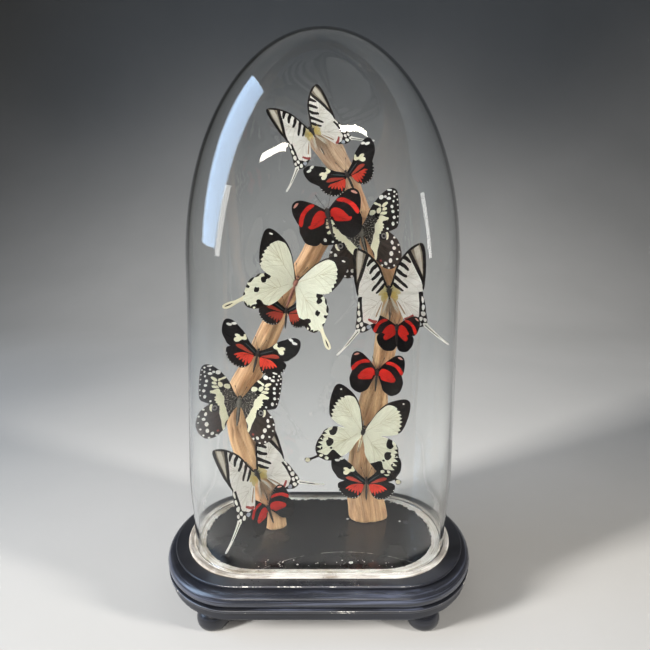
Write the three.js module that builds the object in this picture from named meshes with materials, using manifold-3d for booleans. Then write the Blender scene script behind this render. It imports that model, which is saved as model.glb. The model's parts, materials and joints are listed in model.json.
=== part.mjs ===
// Fifteen mounted butterflies on a branch of driftwood, under an oval glass dome on a black base.
//
// Millimetres, +Z up. The origin lies on the ground under the middle of the base, +X runs along
// the long side and -Y is the front. The base is stacked from the bun feet upwards, the dome stands
// in the groove of the plaster ring, and the driftwood stands on the floor board inside the ring.

import * as THREE from 'three';
import { mergeVertices } from 'three/addons/utils/BufferGeometryUtils.js';
import Module from 'manifold-3d';

const wasm = await Module();
wasm.setup();

// ---------------------------------------------------------------- driving dimensions

const GAP = 0.3; // between two pieces that touch
const OVAL_END_STEPS = 12; // faces round each half-oval end

const FOOT = { radius: 15.5, flatRadius: 9.6, neckRadius: 10, height: 21.7, x: 98, y: 70 };

const MOULDING = { width: 310, depth: 197, bottom: 22, top: 47 };
const PLINTH = { inset: 3, underside: 8, top: 29.5 };
const FILLET = { inset: 0.5, bottom: 30.5, top: 33 };
const HALF_ROUND = { inset: 6.5, radius: 6.5, z: 39.5 };
const HOLLOW = { inset: 10, bottom: 45.8, topInset: 11 };
const TOP_BOARD = { width: 295, depth: 178, bottom: 47.3, top: 49.5, edgeRound: 0.7 };
const RING = { width: 270, depth: 156, innerWidth: 235, innerDepth: 130, bottom: 49.8, top: 52 };
const FLOOR_BOARD = { thickness: 1.1, bottom: 49.8 };
const FLOOR_TOP = FLOOR_BOARD.bottom + FLOOR_BOARD.thickness;

const GLASS = {
  wall: 3, // thickness of the blown glass
  bottom: 50.7, // the rim, standing in the groove of the ring
  shoulder: 341, // where the straight wall turns into the rounded cap
  crown: 558, // highest point of the outside
  footHalfWidth: 129, // at the rim; the wall swells above it
  halfWidth: 134, // at the shoulder
  depthPerWidth: 0.565,
  leanAtRim: 1, // the hand-blown wall drifts to +X as it rises
  leanAtShoulder: 4,
};
const GROOVE = { depth: 1.6, gap: 0.45 }; // cut in the ring for the rim of the glass

const WING_THICKNESS = 0.6;
const PIN = { radius: 0.7, sides: 4, holeRadius: 1.15 };

// ---------------------------------------------------------------- finishes

const finish = (color, roughness, metalness = 0) => ({ color, roughness, metalness });
const BLACK_LACQUER = finish(0x101013, 0.28);
const WORN_PLASTER = finish(0xd2c9b8, 0.8);
const OLD_GLASS = finish(0xe8f0f0, 0.04);
const DRIFTWOOD = finish(0xc09a72, 0.75);
const CREAM_WING = finish(0xe6e4c6, 0.85);
const BLACK_SPOTTED_WING = finish(0x2b2823, 0.85);
const PALE_GREY_WING = finish(0xd8d4c8, 0.8);
const BLACK_RED_WING = finish(0x1a1011, 0.8);
const RED_BANDED_WING = finish(0xa02018, 0.8);

const object = new THREE.Group();

function addPiece(name, geometry, look, parent = object) {
  const piece = new THREE.Mesh(geometry, new THREE.MeshStandardMaterial(look));
  piece.name = name;
  parent.add(piece);
  return piece;
}

// ---------------------------------------------------------------- solids from geometry and back

function toSolid(geometry) {
  const bare = geometry.clone();
  bare.deleteAttribute('normal');
  bare.deleteAttribute('uv');
  const merged = mergeVertices(bare, 1e-4);
  return new wasm.Manifold(new wasm.Mesh({
    numProp: 3,
    vertProperties: new Float32Array(merged.attributes.position.array),
    triVerts: new Uint32Array(merged.index.array),
  }));
}

function toGeometry(solid) {
  const mesh = solid.getMesh();
  const geometry = new THREE.BufferGeometry();
  geometry.setAttribute('position', new THREE.BufferAttribute(mesh.vertProperties, 3));
  geometry.setIndex(new THREE.BufferAttribute(mesh.triVerts, 1));
  geometry.computeVertexNormals();
  return geometry;
}

// Skins a row of rings, each a closed loop of points or a single point that closes an end.
// With `loop` the last ring joins the first one, which makes a hoop of the section.
function skinRings(rings, loop = false) {
  const positions = [];
  const starts = rings.map((ring) => {
    const start = positions.length / 3;
    ring.forEach((point) => positions.push(point.x, point.y, point.z));
    return start;
  });
  const faces = [];
  const joins = loop ? rings.length : rings.length - 1;
  for (let i = 0; i < joins; i += 1) {
    const next = (i + 1) % rings.length;
    const lower = rings[i].length;
    const upper = rings[next].length;
    const a = starts[i];
    const b = starts[next];
    for (let j = 0; j < Math.max(lower, upper); j += 1) {
      const k = (j + 1) % Math.max(lower, upper);
      if (lower > 1) {
        faces.push(a + j, a + k, upper > 1 ? b + k : b);
      }
      if (upper > 1) {
        faces.push(lower > 1 ? a + j : a, b + k, b + j);
      }
    }
  }
  const geometry = new THREE.BufferGeometry();
  geometry.setAttribute('position', new THREE.Float32BufferAttribute(positions, 3));
  geometry.setIndex(faces);
  return geometry;
}

// ---------------------------------------------------------------- ovals of the base and the dome

// The plan of the base and the glass: half-ellipses at both ends, joined by straight sides. The
// straight sides take half of the width, and less towards the crown of the dome.
function oval(width, depth, z, shiftX = 0, straightShare = 0.5) {
  const ring = [];
  const straight = (width / 2) * straightShare;
  for (const end of [1, -1]) {
    for (let i = 0; i <= OVAL_END_STEPS; i += 1) {
      const angle = Math.PI * (i / OVAL_END_STEPS - 0.5);
      const x = end * (straight + (width / 2 - straight) * Math.cos(angle));
      const y = end * (depth / 2) * Math.sin(angle);
      ring.push(new THREE.Vector3(x + shiftX, y, z));
    }
  }
  return ring;
}

const onAxis = (z, shiftX = 0) => [new THREE.Vector3(shiftX, 0, z)];

// A solid oval turned from a section, whose rows are [distance in from the edge, height].
function ovalTurning(width, depth, section) {
  const rings = section.map(([inset, z]) => oval(width - 2 * inset, depth - 2 * inset, z));
  const bottom = onAxis(section[0][1]);
  const top = onAxis(section[section.length - 1][1]);
  return skinRings([bottom, ...rings, top]);
}

// ---------------------------------------------------------------- base, from the feet up

function bunFoot() {
  const { radius, flatRadius, neckRadius, height } = FOOT;
  const bulgeHeight = 0.8 * height;
  const profile = [new THREE.Vector2(0, 0), new THREE.Vector2(flatRadius, 0)];
  for (let i = 1; i < 4; i += 1) {
    const angle = Math.PI * (i / 4 - 0.5);
    const bulge = flatRadius + (radius - flatRadius) * Math.cos(angle);
    profile.push(new THREE.Vector2(bulge, (bulgeHeight / 2) * (1 + Math.sin(angle))));
  }
  profile.push(new THREE.Vector2(neckRadius, bulgeHeight + GAP));
  profile.push(new THREE.Vector2(neckRadius, height));
  profile.push(new THREE.Vector2(0, height));
  return new THREE.LatheGeometry(profile, 9).rotateX(Math.PI / 2);
}

function buildBase() {
  for (const [side, x] of [['left', -FOOT.x], ['right', FOOT.x]]) {
    for (const [end, y] of [['front', -FOOT.y], ['back', FOOT.y]]) {
      const foot = addPiece(`foot_${end}_${side}`, bunFoot(), BLACK_LACQUER);
      foot.position.set(x, y, 0);
    }
  }

  // plinth, a thin fillet, the big half-round and the hollow under the board
  const section = [
    [PLINTH.underside, MOULDING.bottom],
    [PLINTH.inset, MOULDING.bottom],
    [PLINTH.inset, PLINTH.top],
    [FILLET.inset, FILLET.bottom],
    [FILLET.inset, FILLET.top],
  ];
  for (let i = 1; i < 4; i += 1) {
    const angle = Math.PI * (i / 4 - 0.5);
    const inset = HALF_ROUND.inset - HALF_ROUND.radius * Math.cos(angle);
    section.push([inset, HALF_ROUND.z + HALF_ROUND.radius * Math.sin(angle)]);
  }
  section.push([HOLLOW.inset, HOLLOW.bottom], [HOLLOW.topInset, MOULDING.top]);
  addPiece('base_moulding', ovalTurning(MOULDING.width, MOULDING.depth, section), BLACK_LACQUER);

  const { edgeRound } = TOP_BOARD;
  const edge = [
    [edgeRound, TOP_BOARD.bottom],
    [0, TOP_BOARD.bottom + edgeRound],
    [0, TOP_BOARD.top - edgeRound],
    [edgeRound, TOP_BOARD.top],
  ];
  addPiece('top_board', ovalTurning(TOP_BOARD.width, TOP_BOARD.depth, edge), BLACK_LACQUER);

  const floorWidth = RING.innerWidth - 2 * GAP;
  const floorDepth = RING.innerDepth - 2 * GAP;
  const floorSection = [[0, FLOOR_BOARD.bottom], [0, FLOOR_TOP]];
  addPiece('floor_board', ovalTurning(floorWidth, floorDepth, floorSection), BLACK_LACQUER);
}

// The plaster ring is one hoop with a groove in its top for the rim of the glass.
function plasterRing() {
  const rim = glassSize(GLASS.bottom);
  const outer = [rim.width + 2 * GROOVE.gap, rim.depth + 2 * GROOVE.gap];
  const inwards = GLASS.wall + GROOVE.gap;
  const inner = [rim.width - 2 * inwards, rim.depth - 2 * inwards];
  const grooveBottom = RING.top - GROOVE.depth;
  const shift = GLASS.leanAtRim;
  return skinRings([
    oval(RING.innerWidth, RING.innerDepth, RING.bottom),
    oval(RING.width, RING.depth, RING.bottom),
    oval(RING.width - 1, RING.depth - 1, RING.top),
    oval(...outer, RING.top, shift),
    oval(...outer, grooveBottom, shift),
    oval(...inner, grooveBottom, shift),
    oval(...inner, RING.top, shift),
    oval(RING.innerWidth + 1, RING.innerDepth + 1, RING.top),
  ], true);
}

// ---------------------------------------------------------------- glass dome

// Outside size of the dome at a height: it swells a little above the rim, and the cap is an ellipse.
function glassSize(z) {
  const { bottom, shoulder, crown, footHalfWidth, halfWidth } = GLASS;
  const cap = THREE.MathUtils.clamp((z - shoulder) / (crown - shoulder), 0, 1);
  let half = halfWidth;
  if (z < shoulder) {
    const swell = THREE.MathUtils.smoothstep(z, bottom, bottom + 80);
    half = THREE.MathUtils.lerp(footHalfWidth, halfWidth, swell);
  } else {
    half = halfWidth * Math.sqrt(1 - cap * cap);
  }
  const lean = THREE.MathUtils.smoothstep(z, bottom, shoulder - 20);
  return {
    cap,
    straightShare: 0.5 * (1 - cap),
    width: 2 * half,
    depth: 2 * half * GLASS.depthPerWidth,
    shift: THREE.MathUtils.lerp(GLASS.leanAtRim, GLASS.leanAtShoulder, lean),
  };
}

function glassDome() {
  const { bottom, shoulder, crown, wall } = GLASS;
  const heights = [bottom, 110, 230, shoulder];
  const capSteps = 7;
  for (let i = 1; i < capSteps; i += 1) {
    heights.push(shoulder + (crown - shoulder) * Math.sin((i / capSteps) * (Math.PI / 2)));
  }
  const outside = heights.map((z) => {
    const size = glassSize(z);
    return oval(size.width, size.depth, z, size.shift, size.straightShare);
  });
  // the inside follows the outside, one wall further in and, on the cap, lower
  const inside = heights.map((z) => {
    const size = glassSize(z);
    const width = size.width - 2 * wall;
    return oval(width, size.depth - 2 * wall, z - wall * size.cap, size.shift, size.straightShare);
  });
  const lean = GLASS.leanAtShoulder;
  const outer = [...outside, onAxis(crown, lean)];
  const inner = [onAxis(crown - wall, lean), ...inside.reverse()];
  return skinRings([...outer, ...inner], true);
}

// ---------------------------------------------------------------- driftwood

const LIMB_SIDES = 8;
const LIMB_FOOT = FLOOR_TOP + GAP; // height of the sawn feet of the two lower limbs

// Each row is [x, y, z, half-width, half-depth] at a place along the limb, from the foot upwards.
const RIGHT_LIMB = {
  knots: [
    [53, 28, LIMB_FOOT, 20, 15], [51, 27, 68, 19, 14], [48, 26, 94, 17, 13], [51, 24, 141, 14, 12],
    [57, 22, 181, 16, 12], [65, 20, 220, 12, 11], [72, 18, 263, 12, 11], [77, 16, 297, 12, 11],
    [68, 14, 328, 12, 11], [53, 12, 356, 12, 11], [44, 12, 378, 12, 11],
  ],
  turns: 2.2,
  onFloor: true,
};
const LEFT_LIMB = {
  knots: [
    [-47, 10, LIMB_FOOT, 11, 10], [-49, 9, 66, 11, 10], [-56, 8, 88, 12, 11], [-67, 8, 114, 12, 11],
    [-80, 8, 147, 12, 11], [-85, 8, 175, 12, 11], [-81, 8, 201, 14, 12], [-66, 8, 231, 13, 11],
    [-54, 8, 257, 12, 11], [-40, 8, 288, 11, 10], [-24, 9, 316, 11, 10], [-9, 10, 340, 11, 10],
    [3, 11, 363, 12, 11], [16, 12, 377, 13, 11], [36, 12, 388, 11, 10],
  ],
  turns: -1.6,
  onFloor: true,
};
const TOP_LIMB = {
  knots: [
    [44, 12, 379, 12, 11], [37, 12, 396, 11, 10], [28, 11, 418, 11, 9], [14, 10, 440, 14, 8],
    [4, 9, 457, 16, 8], [-1, 9, 466, 14, 6],
  ],
  turns: 1.4,
};

// A limb is an uneven, slowly twisting section carried along its knots; `grow` thickens it all round.
function limb({ knots, turns, onFloor }, grow = 0) {
  const places = knots.map(([x, y, z]) => new THREE.Vector3(x, y, z));
  const route = new THREE.CatmullRomCurve3(places, false, 'centripetal');
  const sideways = new THREE.Vector3(0, 1, 0);
  const rings = knots.map(([x, y, z, halfWidth, halfDepth], index) => {
    const along = route.getTangent(index / (knots.length - 1));
    const across = new THREE.Vector3().crossVectors(sideways, along).normalize();
    const back = new THREE.Vector3().crossVectors(along, across);
    const endSign = index === 0 ? -1 : Number(index === knots.length - 1);
    const ring = [];
    for (let j = 0; j < LIMB_SIDES; j += 1) {
      const angle = (j / LIMB_SIDES) * 2 * Math.PI;
      const twist = (index / knots.length) * turns * Math.PI;
      const uneven = 1 + 0.07 * Math.cos(2 * angle + twist) + 0.05 * Math.cos(3 * angle - 1.7 * twist);
      const point = new THREE.Vector3(x, y, z).addScaledVector(along, endSign * grow);
      point.addScaledVector(across, Math.cos(angle) * (halfWidth * uneven + grow));
      point.addScaledVector(back, Math.sin(angle) * (halfDepth * uneven + grow));
      if (onFloor && index === 0) {
        point.z = LIMB_FOOT;
      }
      ring.push(point);
    }
    return ring;
  });
  const endOf = (ring) => {
    const middle = new THREE.Vector3();
    ring.forEach((point) => middle.addScaledVector(point, 1 / ring.length));
    return [middle];
  };
  return skinRings([endOf(rings[0]), ...rings, endOf(rings[rings.length - 1])]);
}

// ---------------------------------------------------------------- butterflies

// Outlines of the right wings, drawn flat with the thorax at the origin and the head towards +Y.
// The left wings mirror them. A tail is a ribbon: its rows are [x, y, width].
const MOCKER_SWALLOWTAIL = {
  look: CREAM_WING,
  forewing: [[1, 4], [6, 14], [12, 26], [20, 36], [30, 42], [40, 45], [46, 42], [47.5, 34], [46.5, 23],
    [44, 13], [38, 5], [26, 0], [1, -3]],
  hindwing: [[1, 0], [26, 2], [36, -4], [42, -11], [44, -19], [45, -27], [42, -34], [37, -36], [29, -37],
    [19, -31], [11, -24], [8, -17], [3, -8]],
  tail: [[40, -31, 7], [46, -37, 3], [51, -41, 3], [56, -45, 5.5], [59, -47.5, 3.5]],
  body: { length: 27, head: 9, radius: 2.9 },
};
const CHEQUERED_SWALLOWTAIL = {
  look: BLACK_SPOTTED_WING,
  forewing: [[1, 4], [7, 12], [14, 23], [23, 32], [32, 38], [39, 40], [44, 37.5], [46, 32], [45.5, 22],
    [44, 10], [42, 2], [36, -2], [25, -4], [1, -4]],
  hindwing: [[1, -1], [24, -3], [31, -8], [37, -15], [39, -22], [37, -31], [32, -38], [25, -40],
    [19, -37], [14, -32], [11, -25], [7, -15], [3, -7]],
  body: { length: 26, head: 9, radius: 3 },
};
const KITE_SWALLOWTAIL = {
  look: PALE_GREY_WING,
  forewing: [[1, 4], [5, 16], [10, 29], [20, 41], [28, 46], [34, 47], [36.5, 41], [37, 26], [36, 12],
    [34, 3], [30, 0.5], [19, 0], [1, -2]],
  hindwing: [[1, 1], [29, 1], [31, -12], [30, -22], [32, -29], [29, -33], [25, -32], [18, -29], [13, -25],
    [9, -16], [6, -8], [3, -5]],
  tail: [[28, -29, 7], [34, -35, 2.6], [42, -42, 2], [50, -48.5, 1.8], [56, -53, 1.6]],
  body: { length: 28, head: 8, radius: 2.6 },
};
const LONGWING = {
  look: BLACK_RED_WING,
  forewing: [[1, 3], [10, 10], [17, 18], [23, 22.5], [30, 27], [35, 28.5], [39.5, 27], [41, 21],
    [39.5, 13], [35, 7], [31, 3], [20, 0], [1, -2]],
  hindwing: [[1, 1], [20, 3], [31, 0], [31.5, -6], [28.5, -11.5], [24, -15.5], [18, -18], [12, -18],
    [7, -15], [4, -9], [3, -4]],
  body: { length: 21, head: 7, radius: 2 },
};
const RED_BAND = {
  look: RED_BANDED_WING,
  forewing: [[1, 3], [6, 10], [11, 15], [16, 19], [21, 20.5], [25, 18.5], [26.5, 13], [26.5, 6],
    [24.5, 1], [20, -1], [10, -1], [1, -2]],
  hindwing: [[1, 1], [13, 1.5], [22, 0], [25, -5], [25, -11], [23, -16], [19.5, -20], [14, -22],
    [9.5, -21], [5, -17], [3, -10]],
  body: { length: 19, head: 6, radius: 2 },
};

const ANTENNA = { reach: 13, spread: 0.42, radius: 0.35, clubRadius: 0.8 };
const LEG = { radius: 0.4, reach: 5, rows: [3, 0, -3] };

// Where the wings of the right side spring from the thorax.
const ROOT = { x: 2, y: 2 };

// A flat plate of an outline that is first turned about the wing's root in its own plane.
function plate(points, spread) {
  const outline = new THREE.Shape(points.map(([x, y]) => new THREE.Vector2(x, y)));
  const geometry = new THREE.ExtrudeGeometry(outline, { depth: WING_THICKNESS, bevelEnabled: false });
  geometry.translate(-ROOT.x, -ROOT.y, 0);
  geometry.rotateZ(THREE.MathUtils.degToRad(spread));
  return toSolid(geometry);
}

// The two sides of a ribbon from rows of [x, y, width], as one outline.
function ribbon(rows) {
  const offset = (index, side) => {
    const [x, y, width] = rows[index];
    const [fromX, fromY] = rows[Math.max(index - 1, 0)];
    const [toX, toY] = rows[Math.min(index + 1, rows.length - 1)];
    const reach = (side * width) / Math.hypot(toX - fromX, toY - fromY) / 2;
    return [x - reach * (toY - fromY), y + reach * (toX - fromX)];
  };
  const there = rows.map((_, index) => offset(index, -1));
  const back = rows.map((_, index) => offset(index, 1)).reverse();
  return [...there, ...back];
}

// The forewing and hindwing of one side, joined flat and then lifted about the line of the body.
function wingsOf(kind, pose, side) {
  let wings = plate(kind.forewing, pose.foreSpread).add(plate(kind.hindwing, pose.hindSpread));
  if (kind.tail) {
    wings = wings.add(plate(ribbon(kind.tail), pose.hindSpread));
  }
  const lift = side > 0 ? pose.liftRight : pose.liftLeft;
  wings = wings.rotate([0, -lift, 0]).translate([ROOT.x, ROOT.y, 0]);
  return side > 0 ? wings : wings.mirror([1, 0, 0]);
}

function bodyOf({ length, head, radius }) {
  const profile = [
    [0, -length], [0.8 * radius, -0.6 * length], [0.6 * radius, -5], [radius, -1], [radius, 2.5],
    [0.6 * radius, head - 2.6], [0, head],
  ];
  return new THREE.LatheGeometry(profile.map(([x, y]) => new THREE.Vector2(x, y)), 6);
}

function rodBetween(start, end, radiusStart, radiusEnd, sides) {
  const from = new THREE.Vector3(...start);
  const to = new THREE.Vector3(...end);
  const rod = new THREE.CylinderGeometry(radiusEnd, radiusStart, from.distanceTo(to), sides);
  const turn = new THREE.Quaternion().setFromUnitVectors(
    new THREE.Vector3(0, 1, 0),
    to.clone().sub(from).normalize(),
  );
  rod.applyQuaternion(turn);
  const middle = from.add(to).multiplyScalar(0.5);
  return rod.translate(middle.x, middle.y, middle.z);
}

function pinOf(length, radius) {
  return rodBetween([0, 0, 0], [0, 0, -length], radius, radius, PIN.sides);
}

function butterflySolid(kind, pose) {
  const parts = [toSolid(bodyOf(kind.body))];
  for (const side of [1, -1]) {
    parts.push(wingsOf(kind, pose, side));
    const headY = kind.body.head - 1;
    const tipX = side * ANTENNA.reach * Math.sin(ANTENNA.spread);
    const tipY = headY + ANTENNA.reach * Math.cos(ANTENNA.spread);
    const feeler = [[side * 0.5, headY - 1, 0.4], [tipX, tipY, 2]];
    parts.push(toSolid(rodBetween(...feeler, ANTENNA.radius, ANTENNA.clubRadius, 3)));
    for (const y of LEG.rows) {
      const foot = [side * LEG.reach * 0.7, y * 1.8 - 1, -LEG.reach];
      parts.push(toSolid(rodBetween([side * 0.4, y, -0.5], foot, LEG.radius, 0, 3)));
    }
  }
  let animal = parts.reduce((whole, part) => whole.add(part)).scale([pose.size, pose.size, pose.size]);
  animal = animal.add(toSolid(pinOf(pose.pin, PIN.radius)));
  return animal;
}

// Where each one sits: thorax [x, y, z] in mm; the head turned clockwise from straight up, the
// body leaning and turning, the wings' lift and spread, all in degrees; the pin's length in mm.
const POSE_WORDS = ['at', 'heading', 'lean', 'turn', 'liftLeft', 'liftRight', 'foreSpread', 'hindSpread',
  'size', 'pin'];
const SPECIMENS = [
  ['kite_swallowtail_top', KITE_SWALLOWTAIL, [-6, -5, 460], -31, 2, 20, 8, 0, -3, 10, 0.85, 13],
  ['longwing_top', LONGWING, [28, -6, 419.5], -25, 6, -12, 14, 20, -3, 10, 0.9, 14],
  ['red_band_top', RED_BAND, [9, -18, 382], -13, 10, 0, 28, 24, -12, 6, 1.25, 26],
  ['chequered_swallowtail_top', CHEQUERED_SWALLOWTAIL, [41.5, -6, 365], -15, 4, -12, 16, 22, -8, 0, 1, 15],
  ['mocker_swallowtail_left', MOCKER_SWALLOWTAIL, [-22, -22, 316.5], 21, -4, -5, 21, 24, -4, 1, 0.95, 28],
  ['longwing_shaded', LONGWING, [-32, -8, 287], 5, -2, -10, 14, 20, 0, 4, 0.85, 13],
  ['kite_swallowtail_right', KITE_SWALLOWTAIL, [70, -4, 305], -4, 9, 4, 17, 17, 1, 0, 1.05, 16],
  ['red_band_side', RED_BAND, [79, 2, 268], 1, -3, -13, 19, 30, -16, -20, 0.95, 13],
  ['red_band_middle', RED_BAND, [59.5, 3, 221], 5, -3, -6, 11, 13, 0, 8, 1.05, 13],
  ['longwing_left', LONGWING, [-61, -9, 244], 15, 3, -5, 10, 13, 0, 1, 1, 14],
  ['chequered_swallowtail_left', CHEQUERED_SWALLOWTAIL, [-80, -12, 194], 8, 4, 3, 21, 20, 3, 10, 1, 17],
  ['mocker_swallowtail_right', MOCKER_SWALLOWTAIL, [45, -8, 162.5], 12, 10, -3, 1, 3, 7, -7, 0.95, 27],
  ['kite_swallowtail_bottom', KITE_SWALLOWTAIL, [-63, -8, 116], -25, -9, 33, 16, 2, -2, 8, 1, 13],
  ['red_band_bottom', RED_BAND, [-52, -7, 79], -17, 5, 28, 27, 20, 9, 16, 0.95, 13],
  ['longwing_bottom', LONGWING, [50, 6, 102], 0, -6, -4, 10, 13, 5, 1, 0.95, 14],
].map(([name, kind, ...values]) => {
  const pose = Object.fromEntries(values.map((value, index) => [POSE_WORDS[index], value]));
  return { name, kind, pose };
});

// Stands a drawn butterfly up facing the front, then turns it to its pose.
function mountAt(pose) {
  const { degToRad } = THREE.MathUtils;
  const upright = new THREE.Group();
  upright.position.set(...pose.at);
  upright.rotation.x = Math.PI / 2;
  const turned = new THREE.Group();
  turned.rotation.z = -degToRad(pose.heading);
  upright.add(turned);
  const leaning = new THREE.Group();
  leaning.rotation.set(degToRad(pose.lean), degToRad(pose.turn), 0, 'XYZ');
  turned.add(leaning);
  return { upright, leaning };
}

function addButterflies() {
  return SPECIMENS.map(({ name, kind, pose }) => {
    const { upright, leaning } = mountAt(pose);
    object.add(upright);
    addPiece(name, toGeometry(butterflySolid(kind, pose)), kind.look, leaning);
    upright.updateMatrixWorld(true);
    // the hole that the pin takes in the wood, a little wider and deeper than the pin
    return pinOf(pose.pin + GAP, PIN.holeRadius).applyMatrix4(leaning.matrixWorld);
  });
}

// The long pin of the upper red-banded one runs through a wing of the chequered one behind it.
function pierceWing(pierced, hole) {
  pierced.updateWorldMatrix(true, false);
  const there = hole.clone().applyMatrix4(pierced.matrixWorld.clone().invert());
  pierced.geometry = toGeometry(toSolid(pierced.geometry).subtract(toSolid(there)));
}

function addDriftwood(pinHoles) {
  const drill = (solid) => pinHoles.reduce((wood, hole) => wood.subtract(toSolid(hole)), solid);
  const rightLimb = toSolid(limb(RIGHT_LIMB));
  const topLimb = toSolid(limb(TOP_LIMB)).subtract(toSolid(limb(RIGHT_LIMB, GAP)));
  const leftLimb = toSolid(limb(LEFT_LIMB))
    .subtract(toSolid(limb(RIGHT_LIMB, GAP)))
    .subtract(toSolid(limb(TOP_LIMB, GAP)));
  addPiece('driftwood_right_limb', toGeometry(drill(rightLimb)), DRIFTWOOD);
  addPiece('driftwood_left_limb', toGeometry(drill(leftLimb)), DRIFTWOOD);
  addPiece('driftwood_top_limb', toGeometry(drill(topLimb)), DRIFTWOOD);
}

// ---------------------------------------------------------------- the whole object

buildBase();
addPiece('plaster_ring', plasterRing(), WORN_PLASTER);
const pinHoles = addButterflies();
const specimenIndex = (name) => SPECIMENS.findIndex((specimen) => specimen.name === name);
pierceWing(object.getObjectByName('chequered_swallowtail_top'), pinHoles[specimenIndex('red_band_top')]);
addDriftwood(pinHoles);
addPiece('glass_dome', glassDome(), OLD_GLASS);

export default object;
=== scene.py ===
# Mounted butterflies on driftwood, under an oval glass dome on a black lacquered base.
#
# Metres, +Z up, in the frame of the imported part: the origin is on the ground under the base, +X runs
# along its long side and -Y is the front. Sizes are written in millimetres times MM.

import json
import math
import random

import bmesh
import bpy
import numpy as np
from mathutils import Matrix, Vector, noise
from mathutils.geometry import delaunay_2d_cdt

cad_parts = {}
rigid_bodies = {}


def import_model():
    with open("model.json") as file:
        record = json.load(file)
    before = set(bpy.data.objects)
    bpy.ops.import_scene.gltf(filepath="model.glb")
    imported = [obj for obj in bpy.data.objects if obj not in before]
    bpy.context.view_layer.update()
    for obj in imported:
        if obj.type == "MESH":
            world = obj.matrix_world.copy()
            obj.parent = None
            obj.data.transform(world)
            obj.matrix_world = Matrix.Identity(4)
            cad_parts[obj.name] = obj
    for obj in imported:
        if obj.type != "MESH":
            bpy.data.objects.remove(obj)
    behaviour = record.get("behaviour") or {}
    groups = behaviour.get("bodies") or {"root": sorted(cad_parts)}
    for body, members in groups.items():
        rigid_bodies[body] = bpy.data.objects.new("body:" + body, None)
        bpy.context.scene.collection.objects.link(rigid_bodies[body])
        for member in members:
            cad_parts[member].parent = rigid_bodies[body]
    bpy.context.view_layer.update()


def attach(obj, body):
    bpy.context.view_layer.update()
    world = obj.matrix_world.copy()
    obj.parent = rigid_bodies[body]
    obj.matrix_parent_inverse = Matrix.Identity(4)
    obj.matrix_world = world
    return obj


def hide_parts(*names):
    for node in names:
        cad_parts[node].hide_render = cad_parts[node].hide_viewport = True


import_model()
MM = 0.001

# ---------------------------------------------------------------- camera, lights and stage

# The camera stands a little over half a metre in front of the dome, at two thirds of its height,
# and looks slightly down. The view is shifted down so that the whole base is in it.
camera_data = bpy.data.cameras.new("camera")
camera_data.sensor_width = 36
camera_data.lens = 30.02
camera_data.shift_y = -0.0523
camera_data.clip_end = 50
camera = bpy.data.objects.new("camera", camera_data)
camera.location = (6.3 * MM, -540 * MM, 371 * MM)
camera.rotation_euler = (math.radians(83.16), 0, 0)
bpy.context.scene.collection.objects.link(camera)
bpy.context.scene.camera = camera


def add_light(name, place, target, width, height, power, colour):
    """A soft rectangular lamp at a place, turned to a target."""
    lamp = bpy.data.lights.new(name, "AREA")
    lamp.shape = "RECTANGLE"
    lamp.size = width
    lamp.size_y = height
    lamp.energy = power
    lamp.color = colour
    holder = bpy.data.objects.new(name, lamp)
    holder.location = place
    holder.rotation_euler = (Vector(target) - Vector(place)).to_track_quat("-Z", "Y").to_euler()
    bpy.context.scene.collection.objects.link(holder)
    return holder


# A tall cool window on the left and two small warm lamps in front. The soft lights are not mirrored
# in the glass: the first lights the stage behind the dome, the other two what stands under it.
add_light("window_left", (-1.5, -0.3, 1.25), (0, 0, 0.35), 0.9, 1.6, 33, (0.54, 0.73, 1.0))
add_light("lamp_left", (-0.42, -1.4, 1.2), (0, 0, 0.3), 0.5, 0.075, 4.5, (1.0, 0.95, 0.86))
add_light("lamp_right", (0.25, -1.5, 1.45), (0, 0, 0.3), 0.32, 0.07, 3.5, (1.0, 0.95, 0.86))
soft_lights = [
    add_light("soft_top", (0, 1.1, 2.0), (0, 1.5, 0.4), 1.6, 0.8, 21, (1.0, 0.99, 0.97)),
    add_light("fill_left", (-1.72, -0.95, 0.8), (0, 0, 0.3), 0.3, 0.75, 30, (1.0, 0.98, 0.95)),
    add_light("fill_right", (1.8, -0.8, 0.75), (0, 0, 0.3), 0.22, 0.7, 15, (1.0, 0.97, 0.93)),
]
SPREADS = (95, 56, 56)
for soft, spread in zip(soft_lights, SPREADS):
    soft.data.spread = math.radians(spread)
    soft.visible_glossy = False
soft_lights[0].visible_transmission = False

world = bpy.data.worlds.new("studio")
world.use_nodes = True
world.node_tree.nodes["Background"].inputs["Color"].default_value = (0.78, 0.8, 0.82, 1)
world.node_tree.nodes["Background"].inputs["Strength"].default_value = 0.1
bpy.context.scene.world = world
bpy.context.scene.view_settings.view_transform = "Standard"


def deselect_all():
    if bpy.context.object and bpy.context.object.mode != "OBJECT":
        bpy.ops.object.mode_set(mode="OBJECT")
    bpy.ops.object.select_all(action="DESELECT")


def add_node(tree, kind, inputs=None, **settings):
    """Adds a node; an input that is given a socket is linked to it, and otherwise set."""
    node = tree.nodes.new(kind)
    for name, value in settings.items():
        setattr(node, name, value)
    for key, value in (inputs or {}).items():
        if isinstance(value, bpy.types.NodeSocket):
            tree.links.new(value, node.inputs[key])
        else:
            node.inputs[key].default_value = value
    return node


def new_finish(name, **sockets):
    """A material with a Principled shader, whose sockets are set by name."""
    material = bpy.data.materials.new(name)
    material.use_nodes = True
    shader = material.node_tree.nodes["Principled BSDF"]
    for key, value in sockets.items():
        shader.inputs[key.replace("_", " ").title().replace("Ior", "IOR")].default_value = value
    return material, material.node_tree, shader


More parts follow.
